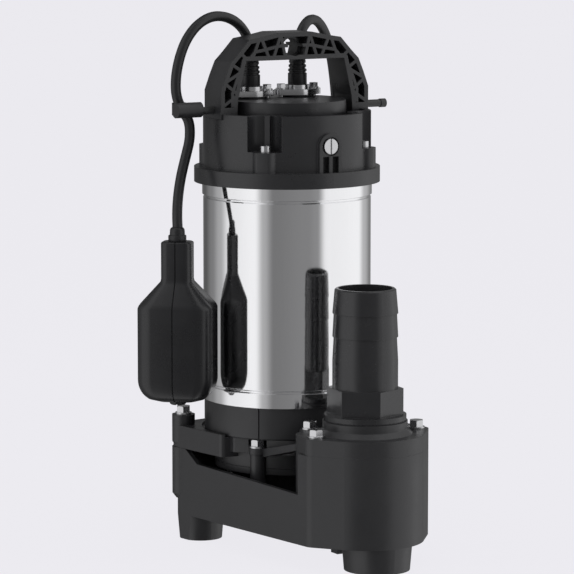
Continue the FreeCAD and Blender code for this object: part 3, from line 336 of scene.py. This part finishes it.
def lathed(name, centre, profile, direction=Vector((0, 0, 1)), segments=48):
    """A turned mesh from (radius, along) pairs in millimetres, starting at the centre."""
    side = direction.orthogonal().normalized()
    other = direction.cross(side)
    rings = []
    for radius, along in profile:
        ring = []
        for step in range(segments):
            angle = 2 * math.pi * step / segments
            offset = side * math.cos(angle) + other * math.sin(angle)
            ring.append(centre + direction * along * MM + offset * radius * MM)
        rings.append(ring)
    shape = bmesh.new()
    skin(shape, rings)
    return from_bmesh(name, shape)


def from_motor(points):
    """Points in millimetres from the motor axis, as metres in the frame."""
    return [(MOTOR_X + x * MM, y * MM, z * MM) for x, y, z in points]


def cable_curve(name, points):
    """An open curve along the route's points."""
    curve = bpy.data.curves.new(name, "CURVE")
    curve.dimensions = "3D"
    spline = curve.splines.new("NURBS")
    spline.points.add(len(points) - 1)
    for control, point in zip(spline.points, points):
        control.co = (*point, 1.0)
    spline.order_u = 3
    spline.use_endpoint_u = True
    spline.resolution_u = 8
    curve.bevel_resolution = 5
    curve.use_fill_caps = True
    return bpy.data.objects.new(name, curve)


def centreline(curve_object):
    """Points read from the route's own spline."""
    bpy.context.scene.collection.objects.link(curve_object)
    mesh = bpy.data.meshes.new_from_object(curve_object.evaluated_get(bpy.context.evaluated_depsgraph_get()))
    points = [tuple(vertex.co) for vertex in mesh.vertices]
    bpy.data.meshes.remove(mesh)
    return points


def coil_points():
    """The turns of the power cable's coil: three layers, in and out and in again."""
    points = []
    turns = COIL_LAYERS * COIL_LAYER_TURNS - COIL_LAST_TURN_SHORT
    inner_turn = COIL_OUTER_TURN - COIL_PITCH * COIL_LAYER_TURNS
    for step in range(int(turns * COIL_POINTS_PER_TURN) + 1):
        turn = step / COIL_POINTS_PER_TURN
        layer = int(turn // COIL_LAYER_TURNS)
        into = turn - layer * COIL_LAYER_TURNS
        radius = COIL_OUTER_TURN - COIL_PITCH * into
        if layer == 1:
            radius = inner_turn + COIL_PITCH * into
        climb = min(1.0, into / COIL_CLIMB_TURNS) if layer else 0.0
        height = COIL_FIRST_Z + COIL_PITCH * (layer - 1 + climb if layer else 0)
        angle = math.radians(COIL_START_ANGLE) + 2 * math.pi * turn
        x = COIL_CENTRE[0] + radius * math.cos(angle)
        y = COIL_CENTRE[1] + radius * math.sin(angle)
        points.append((x, y, height))
    return points


# ---- stage ----
LENS_MM = 219.6
SENSOR_WIDTH_MM = 36.0
FLOOR_HALF_SIZE = 6.0
FLOOR_DROP = 0.0004
FLOOR_SHADE_COLOUR = (0.75, 0.75, 0.76)
FLOOR_ROUGHNESS = 0.9
# The floor shows this share of its own colour to the camera, lifted a little to meet the backdrop behind it.
FLOOR_OWN_SHARE = 0.965
FLOOR_LIFT = 1.0157
ROOM_COLOUR = (0.9, 0.9, 0.93)
ROOM_STRENGTH = 0.75
# Brightness of the mirrored room, by the turn in degrees round the pump.
ROOM_BANDS = (
    (-180, 0.16), (-150, 0.10), (-125, 0.22), (-105, 0.42), (-85, 0.9), (-45, 1.0), (-32, 0.45),
    (-18, 0.20), (28, 0.24), (42, 0.28), (56, 0.95), (115, 1.0), (132, 0.5), (158, 0.22),
)
# Name, turn from the camera and elevation in degrees, distance, size in metres and power in watts.
LAMPS = (
    ("lamp_left", -62.0, 12.0, 2.2, (0.9, 1.8), 14.0),
    ("lamp_right", 82.0, 14.0, 2.2, (0.7, 1.8), 12.0),
    ("lamp_top", 10.0, 78.0, 2.0, (1.6, 1.6), 16.0),
)
LAMP_TARGET = Vector((0.0, 0.0, 0.2))


def away_from(turn, elevation):
    """Unit direction from the pump, by the turn round it and the angle above level."""
    flat = math.cos(elevation)
    return Vector((flat * math.sin(turn), -flat * math.cos(turn), math.sin(elevation)))


def facing(direction):
    """Rotation of a camera or lamp that looks back along the direction."""
    return (-direction).to_track_quat("-Z", "Y").to_euler()


class PUMP_OT_stage(bpy.types.Operator):
    """Floor, backdrop, soft lights and the camera"""
    bl_idname = "pump.stage"
    bl_label = "Stage and camera"

    def execute(self, context):
        values = settings()
        scene = context.scene
        scene.view_settings.view_transform = "Standard"
        self.camera(scene, values)
        self.floor(scene, values)
        self.world(scene, values)
        self.lamps(scene)
        return {"FINISHED"}

    def camera(self, scene, values):
        data = bpy.data.cameras.new("camera")
        data.lens = LENS_MM
        data.sensor_width = SENSOR_WIDTH_MM
        camera = bpy.data.objects.new("camera", data)
        scene.collection.objects.link(camera)
        target = Vector((MOTOR_X, 0.0, values.camera_height))
        away = away_from(values.camera_azimuth, values.camera_elevation)
        camera.location = target + away * values.camera_distance
        camera.rotation_euler = facing(away)
        scene.camera = camera

    def floor(self, scene, values):
        mesh = bpy.data.meshes.new("floor")
        shape = bmesh.new()
        bmesh.ops.create_grid(shape, x_segments=2, y_segments=2, size=FLOOR_HALF_SIZE)
        shape.to_mesh(mesh)
        shape.free()
        floor = bpy.data.objects.new("floor", mesh)
        scene.collection.objects.link(floor)
        floor.location.z = -FLOOR_DROP
        mesh.materials.append(self.backdrop_material("floor_surface", values.floor_colour))

    def backdrop_material(self, name, colour):
        """Pale to the camera, plain for the light, and clear to mirrored rays so metal shows the room."""
        nodes = Nodes(name)
        nodes.shader.inputs["Base Color"].default_value = (*FLOOR_SHADE_COLOUR, 1.0)
        nodes.shader.inputs["Roughness"].default_value = FLOOR_ROUGHNESS
        lifted = tuple(channel * FLOOR_LIFT for channel in colour)
        seen = nodes.add("ShaderNodeEmission", Color=(*lifted, 1.0), Strength=1.0)
        clear = nodes.add("ShaderNodeBsdfTransparent")
        path = nodes.add("ShaderNodeLightPath")
        pale = nodes.add("ShaderNodeMath", operation="MAXIMUM")
        nodes.tree.links.new(path.outputs["Is Camera Ray"], pale.inputs[0])
        nodes.tree.links.new(path.outputs["Is Transmission Ray"], pale.inputs[1])
        amount = nodes.add("ShaderNodeMath", operation="MULTIPLY")
        amount.inputs[1].default_value = FLOOR_OWN_SHARE
        nodes.tree.links.new(pale.outputs[0], amount.inputs[0])
        mix = nodes.add("ShaderNodeMixShader")
        nodes.tree.links.new(amount.outputs[0], mix.inputs["Fac"])
        nodes.tree.links.new(nodes.shader.outputs["BSDF"], mix.inputs[1])
        nodes.tree.links.new(seen.outputs["Emission"], mix.inputs[2])
        mirrored = nodes.add("ShaderNodeMixShader")
        nodes.join(path, "Is Glossy Ray", mirrored, "Fac")
        nodes.tree.links.new(mix.outputs["Shader"], mirrored.inputs[1])
        nodes.tree.links.new(clear.outputs["BSDF"], mirrored.inputs[2])
        nodes.join(mirrored, "Shader", nodes.out, "Surface")
        return nodes.material

    def world(self, scene, values):
        """A pale room: plain light, and for mirrored rays pale walls with soft grey screens between them."""
        world = bpy.data.worlds.new("room")
        scene.world = world
        world.use_nodes = True
        tree = world.node_tree
        tree.nodes.clear()
        out = tree.nodes.new("ShaderNodeOutputWorld")
        plain = tree.nodes.new("ShaderNodeBackground")
        plain.inputs["Color"].default_value = (*ROOM_COLOUR, 1.0)
        plain.inputs["Strength"].default_value = ROOM_STRENGTH
        seen = tree.nodes.new("ShaderNodeBackground")
        seen.inputs["Color"].default_value = (*values.floor_colour, 1.0)
        mirrored = tree.nodes.new("ShaderNodeBackground")
        place = tree.nodes.new("ShaderNodeTexCoord")
        turn = tree.nodes.new("ShaderNodeMapping")
        turn.vector_type = "POINT"
        turn.inputs["Rotation"].default_value = (0.0, 0.0, math.pi / 2 - values.camera_azimuth)
        tree.links.new(place.outputs["Generated"], turn.inputs["Vector"])
        around = tree.nodes.new("ShaderNodeTexGradient")
        around.gradient_type = "RADIAL"
        tree.links.new(turn.outputs["Vector"], around.inputs["Vector"])
        ramp = tree.nodes.new("ShaderNodeValToRGB")
        ramp.color_ramp.interpolation = "EASE"
        self.room_bands(ramp.color_ramp)
        tree.links.new(around.outputs["Fac"], ramp.inputs["Fac"])
        tree.links.new(ramp.outputs["Color"], mirrored.inputs["Color"])
        path = tree.nodes.new("ShaderNodeLightPath")
        shown = plain.outputs[0]
        rays = (("Is Glossy Ray", mirrored), ("Is Transmission Ray", seen), ("Is Camera Ray", seen))
        for ray, surface in rays:
            mix = tree.nodes.new("ShaderNodeMixShader")
            tree.links.new(path.outputs[ray], mix.inputs[0])
            tree.links.new(shown, mix.inputs[1])
            tree.links.new(surface.outputs[0], mix.inputs[2])
            shown = mix.outputs[0]
        tree.links.new(shown, out.inputs["Surface"])

    def room_bands(self, ramp):
        """Set the ramp to the room's pale walls and grey screens."""
        places = [((angle + 180.0) / 360.0, level) for angle, level in ROOM_BANDS]
        while len(ramp.elements) < len(places):
            ramp.elements.new(1.0)
        for element, (place, level) in zip(ramp.elements, places):
            element.position = place
            element.color = (level, level, level * 1.01, 1.0)

    def lamps(self, scene):
        """Two tall soft lamps beside the camera and one overhead."""
        for name, turn, elevation, distance, size, power in LAMPS:
            data = bpy.data.lights.new(name, "AREA")
            data.shape = "RECTANGLE"
            data.size, data.size_y = size
            data.energy = power
            lamp = bpy.data.objects.new(name, data)
            away = away_from(settings().camera_azimuth + math.radians(turn), math.radians(elevation))
            lamp.location = LAMP_TARGET + away * distance
            lamp.rotation_euler = facing(away)
            lamp.visible_glossy = False
            scene.collection.objects.link(lamp)


class PUMP_OT_castings(bpy.types.Operator):
    """Paint on the castings of the pump end"""
    bl_idname = "pump.castings"
    bl_label = "Castings"

    def execute(self, context):
        paint = moulded("casting_paint", settings().casting_colour, 0.34, grain=0.0007, depth=0.00004)
        finish_nodes(paint, "pump_base", "volute_casing", "motor_base", "suction_cover")
        strainer = moulded("strainer_plastic", (0.012, 0.012, 0.012), 0.6)
        finish_nodes(strainer, "strainer_plate")
        return {"FINISHED"}


class PUMP_OT_head(bpy.types.Operator):
    """Moulded head and carry handle"""
    bl_idname = "pump.head"
    bl_label = "Head and handle"

    def execute(self, context):
        plastic = moulded("head_plastic", settings().head_colour, 0.30, grain=0.0005, depth=0.00002)
        finish_nodes(plastic, "head_cover", "carry_handle")
        hook = moulded("hook_coating", (0.02, 0.02, 0.02), 0.35)
        finish_nodes(hook, "cable_hook_pins")
        clip = moulded("clip_plastic", (0.015, 0.015, 0.016), 0.4)
        finish_nodes(clip, "float_cable_clip")
        return {"FINISHED"}


class PUMP_OT_nipple(bpy.types.Operator):
    """Moulded hose nipple"""
    bl_idname = "pump.nipple"
    bl_label = "Hose nipple"

    def execute(self, context):
        plastic = moulded("nipple_plastic", settings().nipple_colour, 0.25, grain=0.0005, depth=0.00001)
        finish_nodes(plastic, "hose_nipple")
        return {"FINISHED"}


class PUMP_OT_motor_can(bpy.types.Operator):
    """Polished steel of the motor can"""
    bl_idname = "pump.motor_can"
    bl_label = "Motor can"

    def execute(self, context):
        steel = metal("polished_can", settings().steel_colour, 0.07, stretch=(1.0, 1.0, 0.03), grain=0.0012,
                      depth=0.000001, rounding=0.0005, tint=0.02)
        finish_nodes(steel, "motor_shell")
        return {"FINISHED"}


class PUMP_OT_hardware(bpy.types.Operator):
    """Screws, bolts, gland plates and the other bare metal"""
    bl_idname = "pump.hardware"
    bl_label = "Fasteners and bare metal"

    def execute(self, context):
        bright = metal("bright_steel", (0.62, 0.62, 0.63), 0.24)
        finish_nodes(bright, "casing_bolts", "tower_screws", "strainer_screws", "suction_cover_screws",
                     "head_bolts", "gland_screws", "handle_screws", "vent_plug", "impeller_washer",
                     "impeller_nut", "shaft")
        pressed = metal("pressed_steel", (0.66, 0.66, 0.67), 0.2, grain=0.0008)
        finish_nodes(pressed, "float_gland_plate", "power_gland_plate")
        ground = metal("ground_steel", (0.6, 0.6, 0.62), 0.18)
        finish_nodes(ground, "lower_bearing", "upper_bearing", "float_ball")
        return {"FINISHED"}


class PUMP_OT_inside(bpy.types.Operator):
    """The sealed pieces inside the motor, the pump and the float"""
    bl_idname = "pump.inside"
    bl_label = "Inner pieces"

    def execute(self, context):
        finish_nodes(moulded("impeller_plastic", (0.05, 0.05, 0.05), 0.45), "impeller")
        ceramic = moulded("seal_ceramic", (0.5, 0.48, 0.44), 0.2, depth=0.000005)
        finish_nodes(ceramic, "seal_seat", "seal_ring")
        rubber = moulded("seal_rubber", settings().rubber_colour, 0.6)
        finish_nodes(rubber, "seal_bellows", "lip_seal", "motor_gasket", "nipple_seal", "head_gasket",
                     "float_gland_seal", "power_gland_seal")
        cast = metal("cast_aluminium", (0.5, 0.5, 0.51), 0.42, grain=0.0015, depth=0.00006)
        finish_nodes(cast, "upper_bearing_bracket", "oil_chamber_plate", "rotor_end_rings")
        finish_nodes(wound("laminated_steel", (0.22, 0.22, 0.24), 0.4, 0.0005), "stator_core", "rotor_core")
        finish_nodes(wound("enamelled_wire", (0.5, 0.2, 0.07), 0.3, 0.0009), "stator_windings")
        finish_nodes(moulded("capacitor_case", (0.45, 0.45, 0.43), 0.35), "run_capacitor", "terminal_block")
        inner = moulded("float_inner_plastic", settings().float_colour, 0.45)
        finish_nodes(inner, "float_ball_track", "float_microswitch")
        return {"FINISHED"}


# ---- float, in millimetres ----
FLOAT_CENTRE = (8.0, -103.0)
FLOAT_YAW = math.radians(-39.0)
FLOAT_HALF_WIDTH = 29.8
FLOAT_HALF_DEPTH = 23.0
FLOAT_CORNER = 13.0
FLOAT_NECK = (12.2, 10.0, 6.0)
FLOAT_BOTTOM_Z = 121.0
FLOAT_ROUND_HEIGHT = 18.0
FLOAT_SHOULDER_Z = 195.0
FLOAT_NECK_Z = 216.5
FLOAT_TOP_Z = 247.0
FLOAT_SEAM_GAP = 0.45
FLOAT_LIP = 0.35
# How far the rounded bottom draws in the half width, half depth and corner radius.
FLOAT_BOTTOM_INSET = (15.0, 12.0, 5.0)
FLOAT_BOTTOM_STEPS = 8
# The nub under the float: half width, half depth, corner radius and height.
FLOAT_NUB = ((5.4, 5.4, 5.3, 118.0), (6.4, 6.4, 6.3, 118.8), (6.5, 6.5, 6.4, 121.0))
# The shoulder, as shares of the way in to the neck and up to it.
FLOAT_SHOULDER = ((0.0, 0.0), (0.05, 0.10), (0.14, 0.20), (0.88, 0.88), (0.97, 0.96), (1.0, 1.06))
# The neck's rounded top: how far each ring and its corner draw in, and its depth below the top.
FLOAT_NECK_TOP = ((0.0, 0.0, 1.2), (0.4, 0.3, 0.4), (1.2, 0.9, 0.0))
# The boot on the neck: radius and height above the neck's top.
FLOAT_BOOT_PROFILE = (
    (5.6, -6.0), (5.6, -0.2), (6.9, 0.0), (7.1, 0.4), (7.1, 4.4), (6.8, 4.8), (6.0, 5.0), (5.8, 8.8),
    (5.4, 10.0), (4.6, 10.8), (4.1, 11.0),
)


def float_levels():
    """Half width, half depth, corner radius and height of each ring, from the float's nub to its neck."""
    body = (FLOAT_HALF_WIDTH, FLOAT_HALF_DEPTH, FLOAT_CORNER)
    levels = list(FLOAT_NUB)
    for step in range(FLOAT_BOTTOM_STEPS + 1):
        t = 1.0 - step / FLOAT_BOTTOM_STEPS
        inset = 1.0 - math.sqrt(1.0 - t * t)
        ring = tuple(size - reach * inset for size, reach in zip(body, FLOAT_BOTTOM_INSET))
        levels.append((*ring, FLOAT_BOTTOM_Z + 0.1 + FLOAT_ROUND_HEIGHT * (1.0 - t)))
    for inward, upward in FLOAT_SHOULDER:
        ring = tuple(size + (neck - size) * inward for size, neck in zip(body, FLOAT_NECK))
        levels.append((*ring, FLOAT_SHOULDER_Z + (FLOAT_NECK_Z - FLOAT_SHOULDER_Z) * upward))
    neck_width, neck_depth, neck_corner = FLOAT_NECK
    for inset, corner_inset, below in FLOAT_NECK_TOP:
        ring = (neck_width - inset, neck_depth - inset, neck_corner - corner_inset)
        levels.append((*ring, FLOAT_TOP_Z - below))
    return levels


def float_ring(half_width, half_depth, corner, z, corner_points=7):
    """One level of the float as a rounded rectangle, in millimetres about its own axis."""
    ring = []
    centres = [(1, 1, 0), (-1, 1, 90), (-1, -1, 180), (1, -1, 270)]
    for x_side, y_side, start in centres:
        for step in range(corner_points):
            angle = math.radians(start + 90.0 * step / (corner_points - 1))
            x = x_side * (half_depth - corner) + corner * math.cos(angle)
            y = y_side * (half_width - corner) + corner * math.sin(angle)
            ring.append(Vector((x * MM, y * MM, z * MM)))
    return ring


def float_half(name, side):
    """One moulded half of the float, with a rounded lip along the seam."""
    shape = bmesh.new()
    skin(shape, [float_ring(*level) for level in float_levels()])
    geometry = shape.verts[:] + shape.edges[:] + shape.faces[:]
    plane = Vector((0.0, side * FLOAT_SEAM_GAP / 2 * MM, 0.0))
    cut = bmesh.ops.bisect_plane(shape, geom=geometry, plane_co=plane, plane_no=(0.0, -side, 0.0),
                                 clear_outer=True)
    rim = [item for item in cut["geom_cut"] if isinstance(item, bmesh.types.BMEdge)]
    cap = bmesh.ops.edgeloop_fill(shape, edges=rim)
    edges = list({edge for face in cap["faces"] for edge in face.edges})
    bmesh.ops.bevel(shape, geom=edges, offset=FLOAT_LIP * MM, segments=2, affect="EDGES")
    mesh = from_bmesh(name, shape)
    turn = Matrix.Rotation(FLOAT_YAW, 4, "Z")
    place = Matrix.Translation((MOTOR_X + FLOAT_CENTRE[0] * MM, FLOAT_CENTRE[1] * MM, 0.0))
    mesh.transform(place @ turn)
    return mesh


class PUMP_OT_float(bpy.types.Operator):
    """The two moulded halves of the float, and the boot on its neck"""
    bl_idname = "pump.float"
    bl_label = "Float"

    def execute(self, context):
        plastic = moulded("float_plastic", settings().float_colour, 0.28, grain=0.0005, depth=0.00001,
                          rounding=0.0)
        for end, side in (("left", -1), ("right", 1)):
            name = "float_half_" + end
            half = new_piece(name, float_half(name, side), "float", plastic)
            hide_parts("float_shell_" + end)
        name = "float_neck_boot"
        centre = Vector(from_motor([(*FLOAT_CENTRE, FLOAT_TOP_Z)])[0])
        mesh = lathed(name, centre, FLOAT_BOOT_PROFILE)
        boot = new_piece(name, mesh, "float", rubber_material())
        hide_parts("float_boot")
        return {"FINISHED"}


# ---- boots and plug, as radius and distance along in millimetres ----
BOOT_RADIUS = 7.6
BOOT_SLEEVE_LENGTH = 17.0
BOOT_RIBS = 3
BOOT_RIB_PITCH = 3.4
BOOT_TAPER = 0.35
BOOT_FOOT = ((7.4, 0.0), (BOOT_RADIUS, 0.3), (BOOT_RADIUS, BOOT_SLEEVE_LENGTH))
BOOT_TIP = ((6.3, 28.2), (5.6, 29.3), (4.6, 29.9), (4.05, 30.0))
# Each rib: the depth of its groove and its crest, and where each starts and ends in the pitch.
BOOT_RIB = ((0.9, 0.3), (0.9, 1.3), (0.2, 1.6), (0.2, 3.2))
PLUG_TAIL = (
    (4.2, 0.0), (5.2, 0.4), (6.0, 5.0), (6.8, 12.0), (7.6, 17.0), (10.0, 19.4), (13.4, 23.6), (15.8, 27.0),
)
PLUG_GRIP_START = 28.0
PLUG_RIBS = 4
PLUG_RIB_PITCH = 3.6
PLUG_RIB = ((16.4, 0.0), (16.4, 1.8), (15.7, 2.2), (15.7, 3.2))
PLUG_FACE = ((16.4, 42.6), (16.4, 45.4), (15.8, 46.0))


def box_middle(low, high):
    """The middle of a box."""
    return (low + high) / 2


class PUMP_OT_boots(bpy.types.Operator):
    """The ribbed rubber boots where the cables leave their glands"""
    bl_idname = "pump.boots"
    bl_label = "Cable boots"

    def execute(self, context):
        profile = list(BOOT_FOOT)
        for rib in range(BOOT_RIBS):
            start = BOOT_SLEEVE_LENGTH + BOOT_RIB_PITCH * rib
            radius = BOOT_RADIUS - BOOT_TAPER * rib
            profile += [(radius - depth, start + along) for depth, along in BOOT_RIB]
        profile += BOOT_TIP
        for node in ("float_cable_boot", "power_cable_boot"):
            low, high = (Vector(corner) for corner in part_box(node))
            foot = box_middle(low, high)
            foot.z = low.z
            name = node + "_ribbed"
            boot = new_piece(name, lathed(name, foot, profile), "pump", rubber_material())
            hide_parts(node)
        return {"FINISHED"}


class PUMP_OT_plug(bpy.types.Operator):
    """The moulded plug on the power cable, with a ribbed grip"""
    bl_idname = "pump.plug"
    bl_label = "Plug"

    def execute(self, context):
        profile = list(PLUG_TAIL)
        for rib in range(PLUG_RIBS):
            start = PLUG_GRIP_START + PLUG_RIB_PITCH * rib
            profile += [(radius, start + along) for radius, along in PLUG_RIB]
        profile += PLUG_FACE
        low, high = (Vector(corner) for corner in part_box("plug_body"))
        tail = box_middle(low, high)
        tail.x = high.x
        name = "plug_moulding"
        mesh = lathed(name, tail, profile, Vector((-1, 0, 0)))
        rubber = moulded("plug_rubber", (0.012, 0.012, 0.013), 0.42)
        body = new_piece(name, mesh, "pump", rubber)
        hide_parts("plug_body")
        finish_nodes(metal("plug_pin_metal", (0.7, 0.66, 0.5), 0.25), "plug_pins")
        return {"FINISHED"}


class PUMP_OT_cables(bpy.types.Operator):
    """The float's cable and the power cable with its coil and plug"""
    bl_idname = "pump.cables"
    bl_label = "Cables"

    def execute(self, context):
        values = settings()
        rubber = rubber_material()
        self.float_cable(values, rubber)
        self.power_cable(values, rubber)
        return {"FINISHED"}

    def float_cable(self, values, rubber):
        points = from_motor(FLOAT_ROUTE_UPPER + FLOAT_ROUTE_LOWER)
        line = cable_curve("float_cable_line", points)
        path = centreline(line)
        line.data.bevel_depth = values.cable_diameter / 2
        mesh = bpy.data.meshes.new_from_object(line.evaluated_get(bpy.context.evaluated_depsgraph_get()))
        bpy.data.objects.remove(line)
        for polygon in mesh.polygons:
            polygon.use_smooth = True
        cable = bpy.data.objects.new("float_cable", mesh)
        bpy.context.scene.collection.objects.link(cable)
        mesh.materials.clear()
        mesh.materials.append(rubber)
        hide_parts("float_cable_upper", "float_cable_lower")
        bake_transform(cable)

    def power_cable(self, values, rubber):
        points = from_motor(POWER_ROUTE + coil_points() + PLUG_ROUTE)
        cable = cable_curve("power_cable_run", points)
        path = centreline(cable)
        cable.data.bevel_depth = values.cable_diameter / 2
        cable.data.materials.append(rubber)
        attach(cable, "pump")
        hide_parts("power_cable", "power_cable_coil")


class PUMP_PT_finishes(bpy.types.Panel):
    """Lists the pump's pieces and finishes"""
    bl_label = "Pump"
    bl_idname = "PUMP_PT_finishes"
    bl_space_type = "VIEW_3D"
    bl_region_type = "UI"
    bl_category = "Pump"

    def draw(self, context):
        layout = self.layout
        for name in PumpFinishSettings.__annotations__:
            layout.prop(context.scene.pump_finish, name)
        for operator in OPERATORS:
            layout.operator(operator.bl_idname)


OPERATORS = (
    PUMP_OT_stage,
    PUMP_OT_castings,
    PUMP_OT_head,
    PUMP_OT_nipple,
    PUMP_OT_motor_can,
    PUMP_OT_hardware,
    PUMP_OT_inside,
    PUMP_OT_float,
    PUMP_OT_boots,
    PUMP_OT_plug,
    PUMP_OT_cables,
)
CLASSES = (PumpFinishSettings,) + OPERATORS + (PUMP_PT_finishes,)


def register():
    for cls in CLASSES:
        bpy.utils.register_class(cls)
    bpy.types.Scene.pump_finish = PointerProperty(type=PumpFinishSettings)


def unregister():
    del bpy.types.Scene.pump_finish
    for cls in reversed(CLASSES):
        bpy.utils.unregister_class(cls)


def main():
    register()
    for operator in OPERATORS:
        group, name = operator.bl_idname.split(".")
        getattr(getattr(bpy.ops, group), name)()


if __name__ == "__main__":
    main()
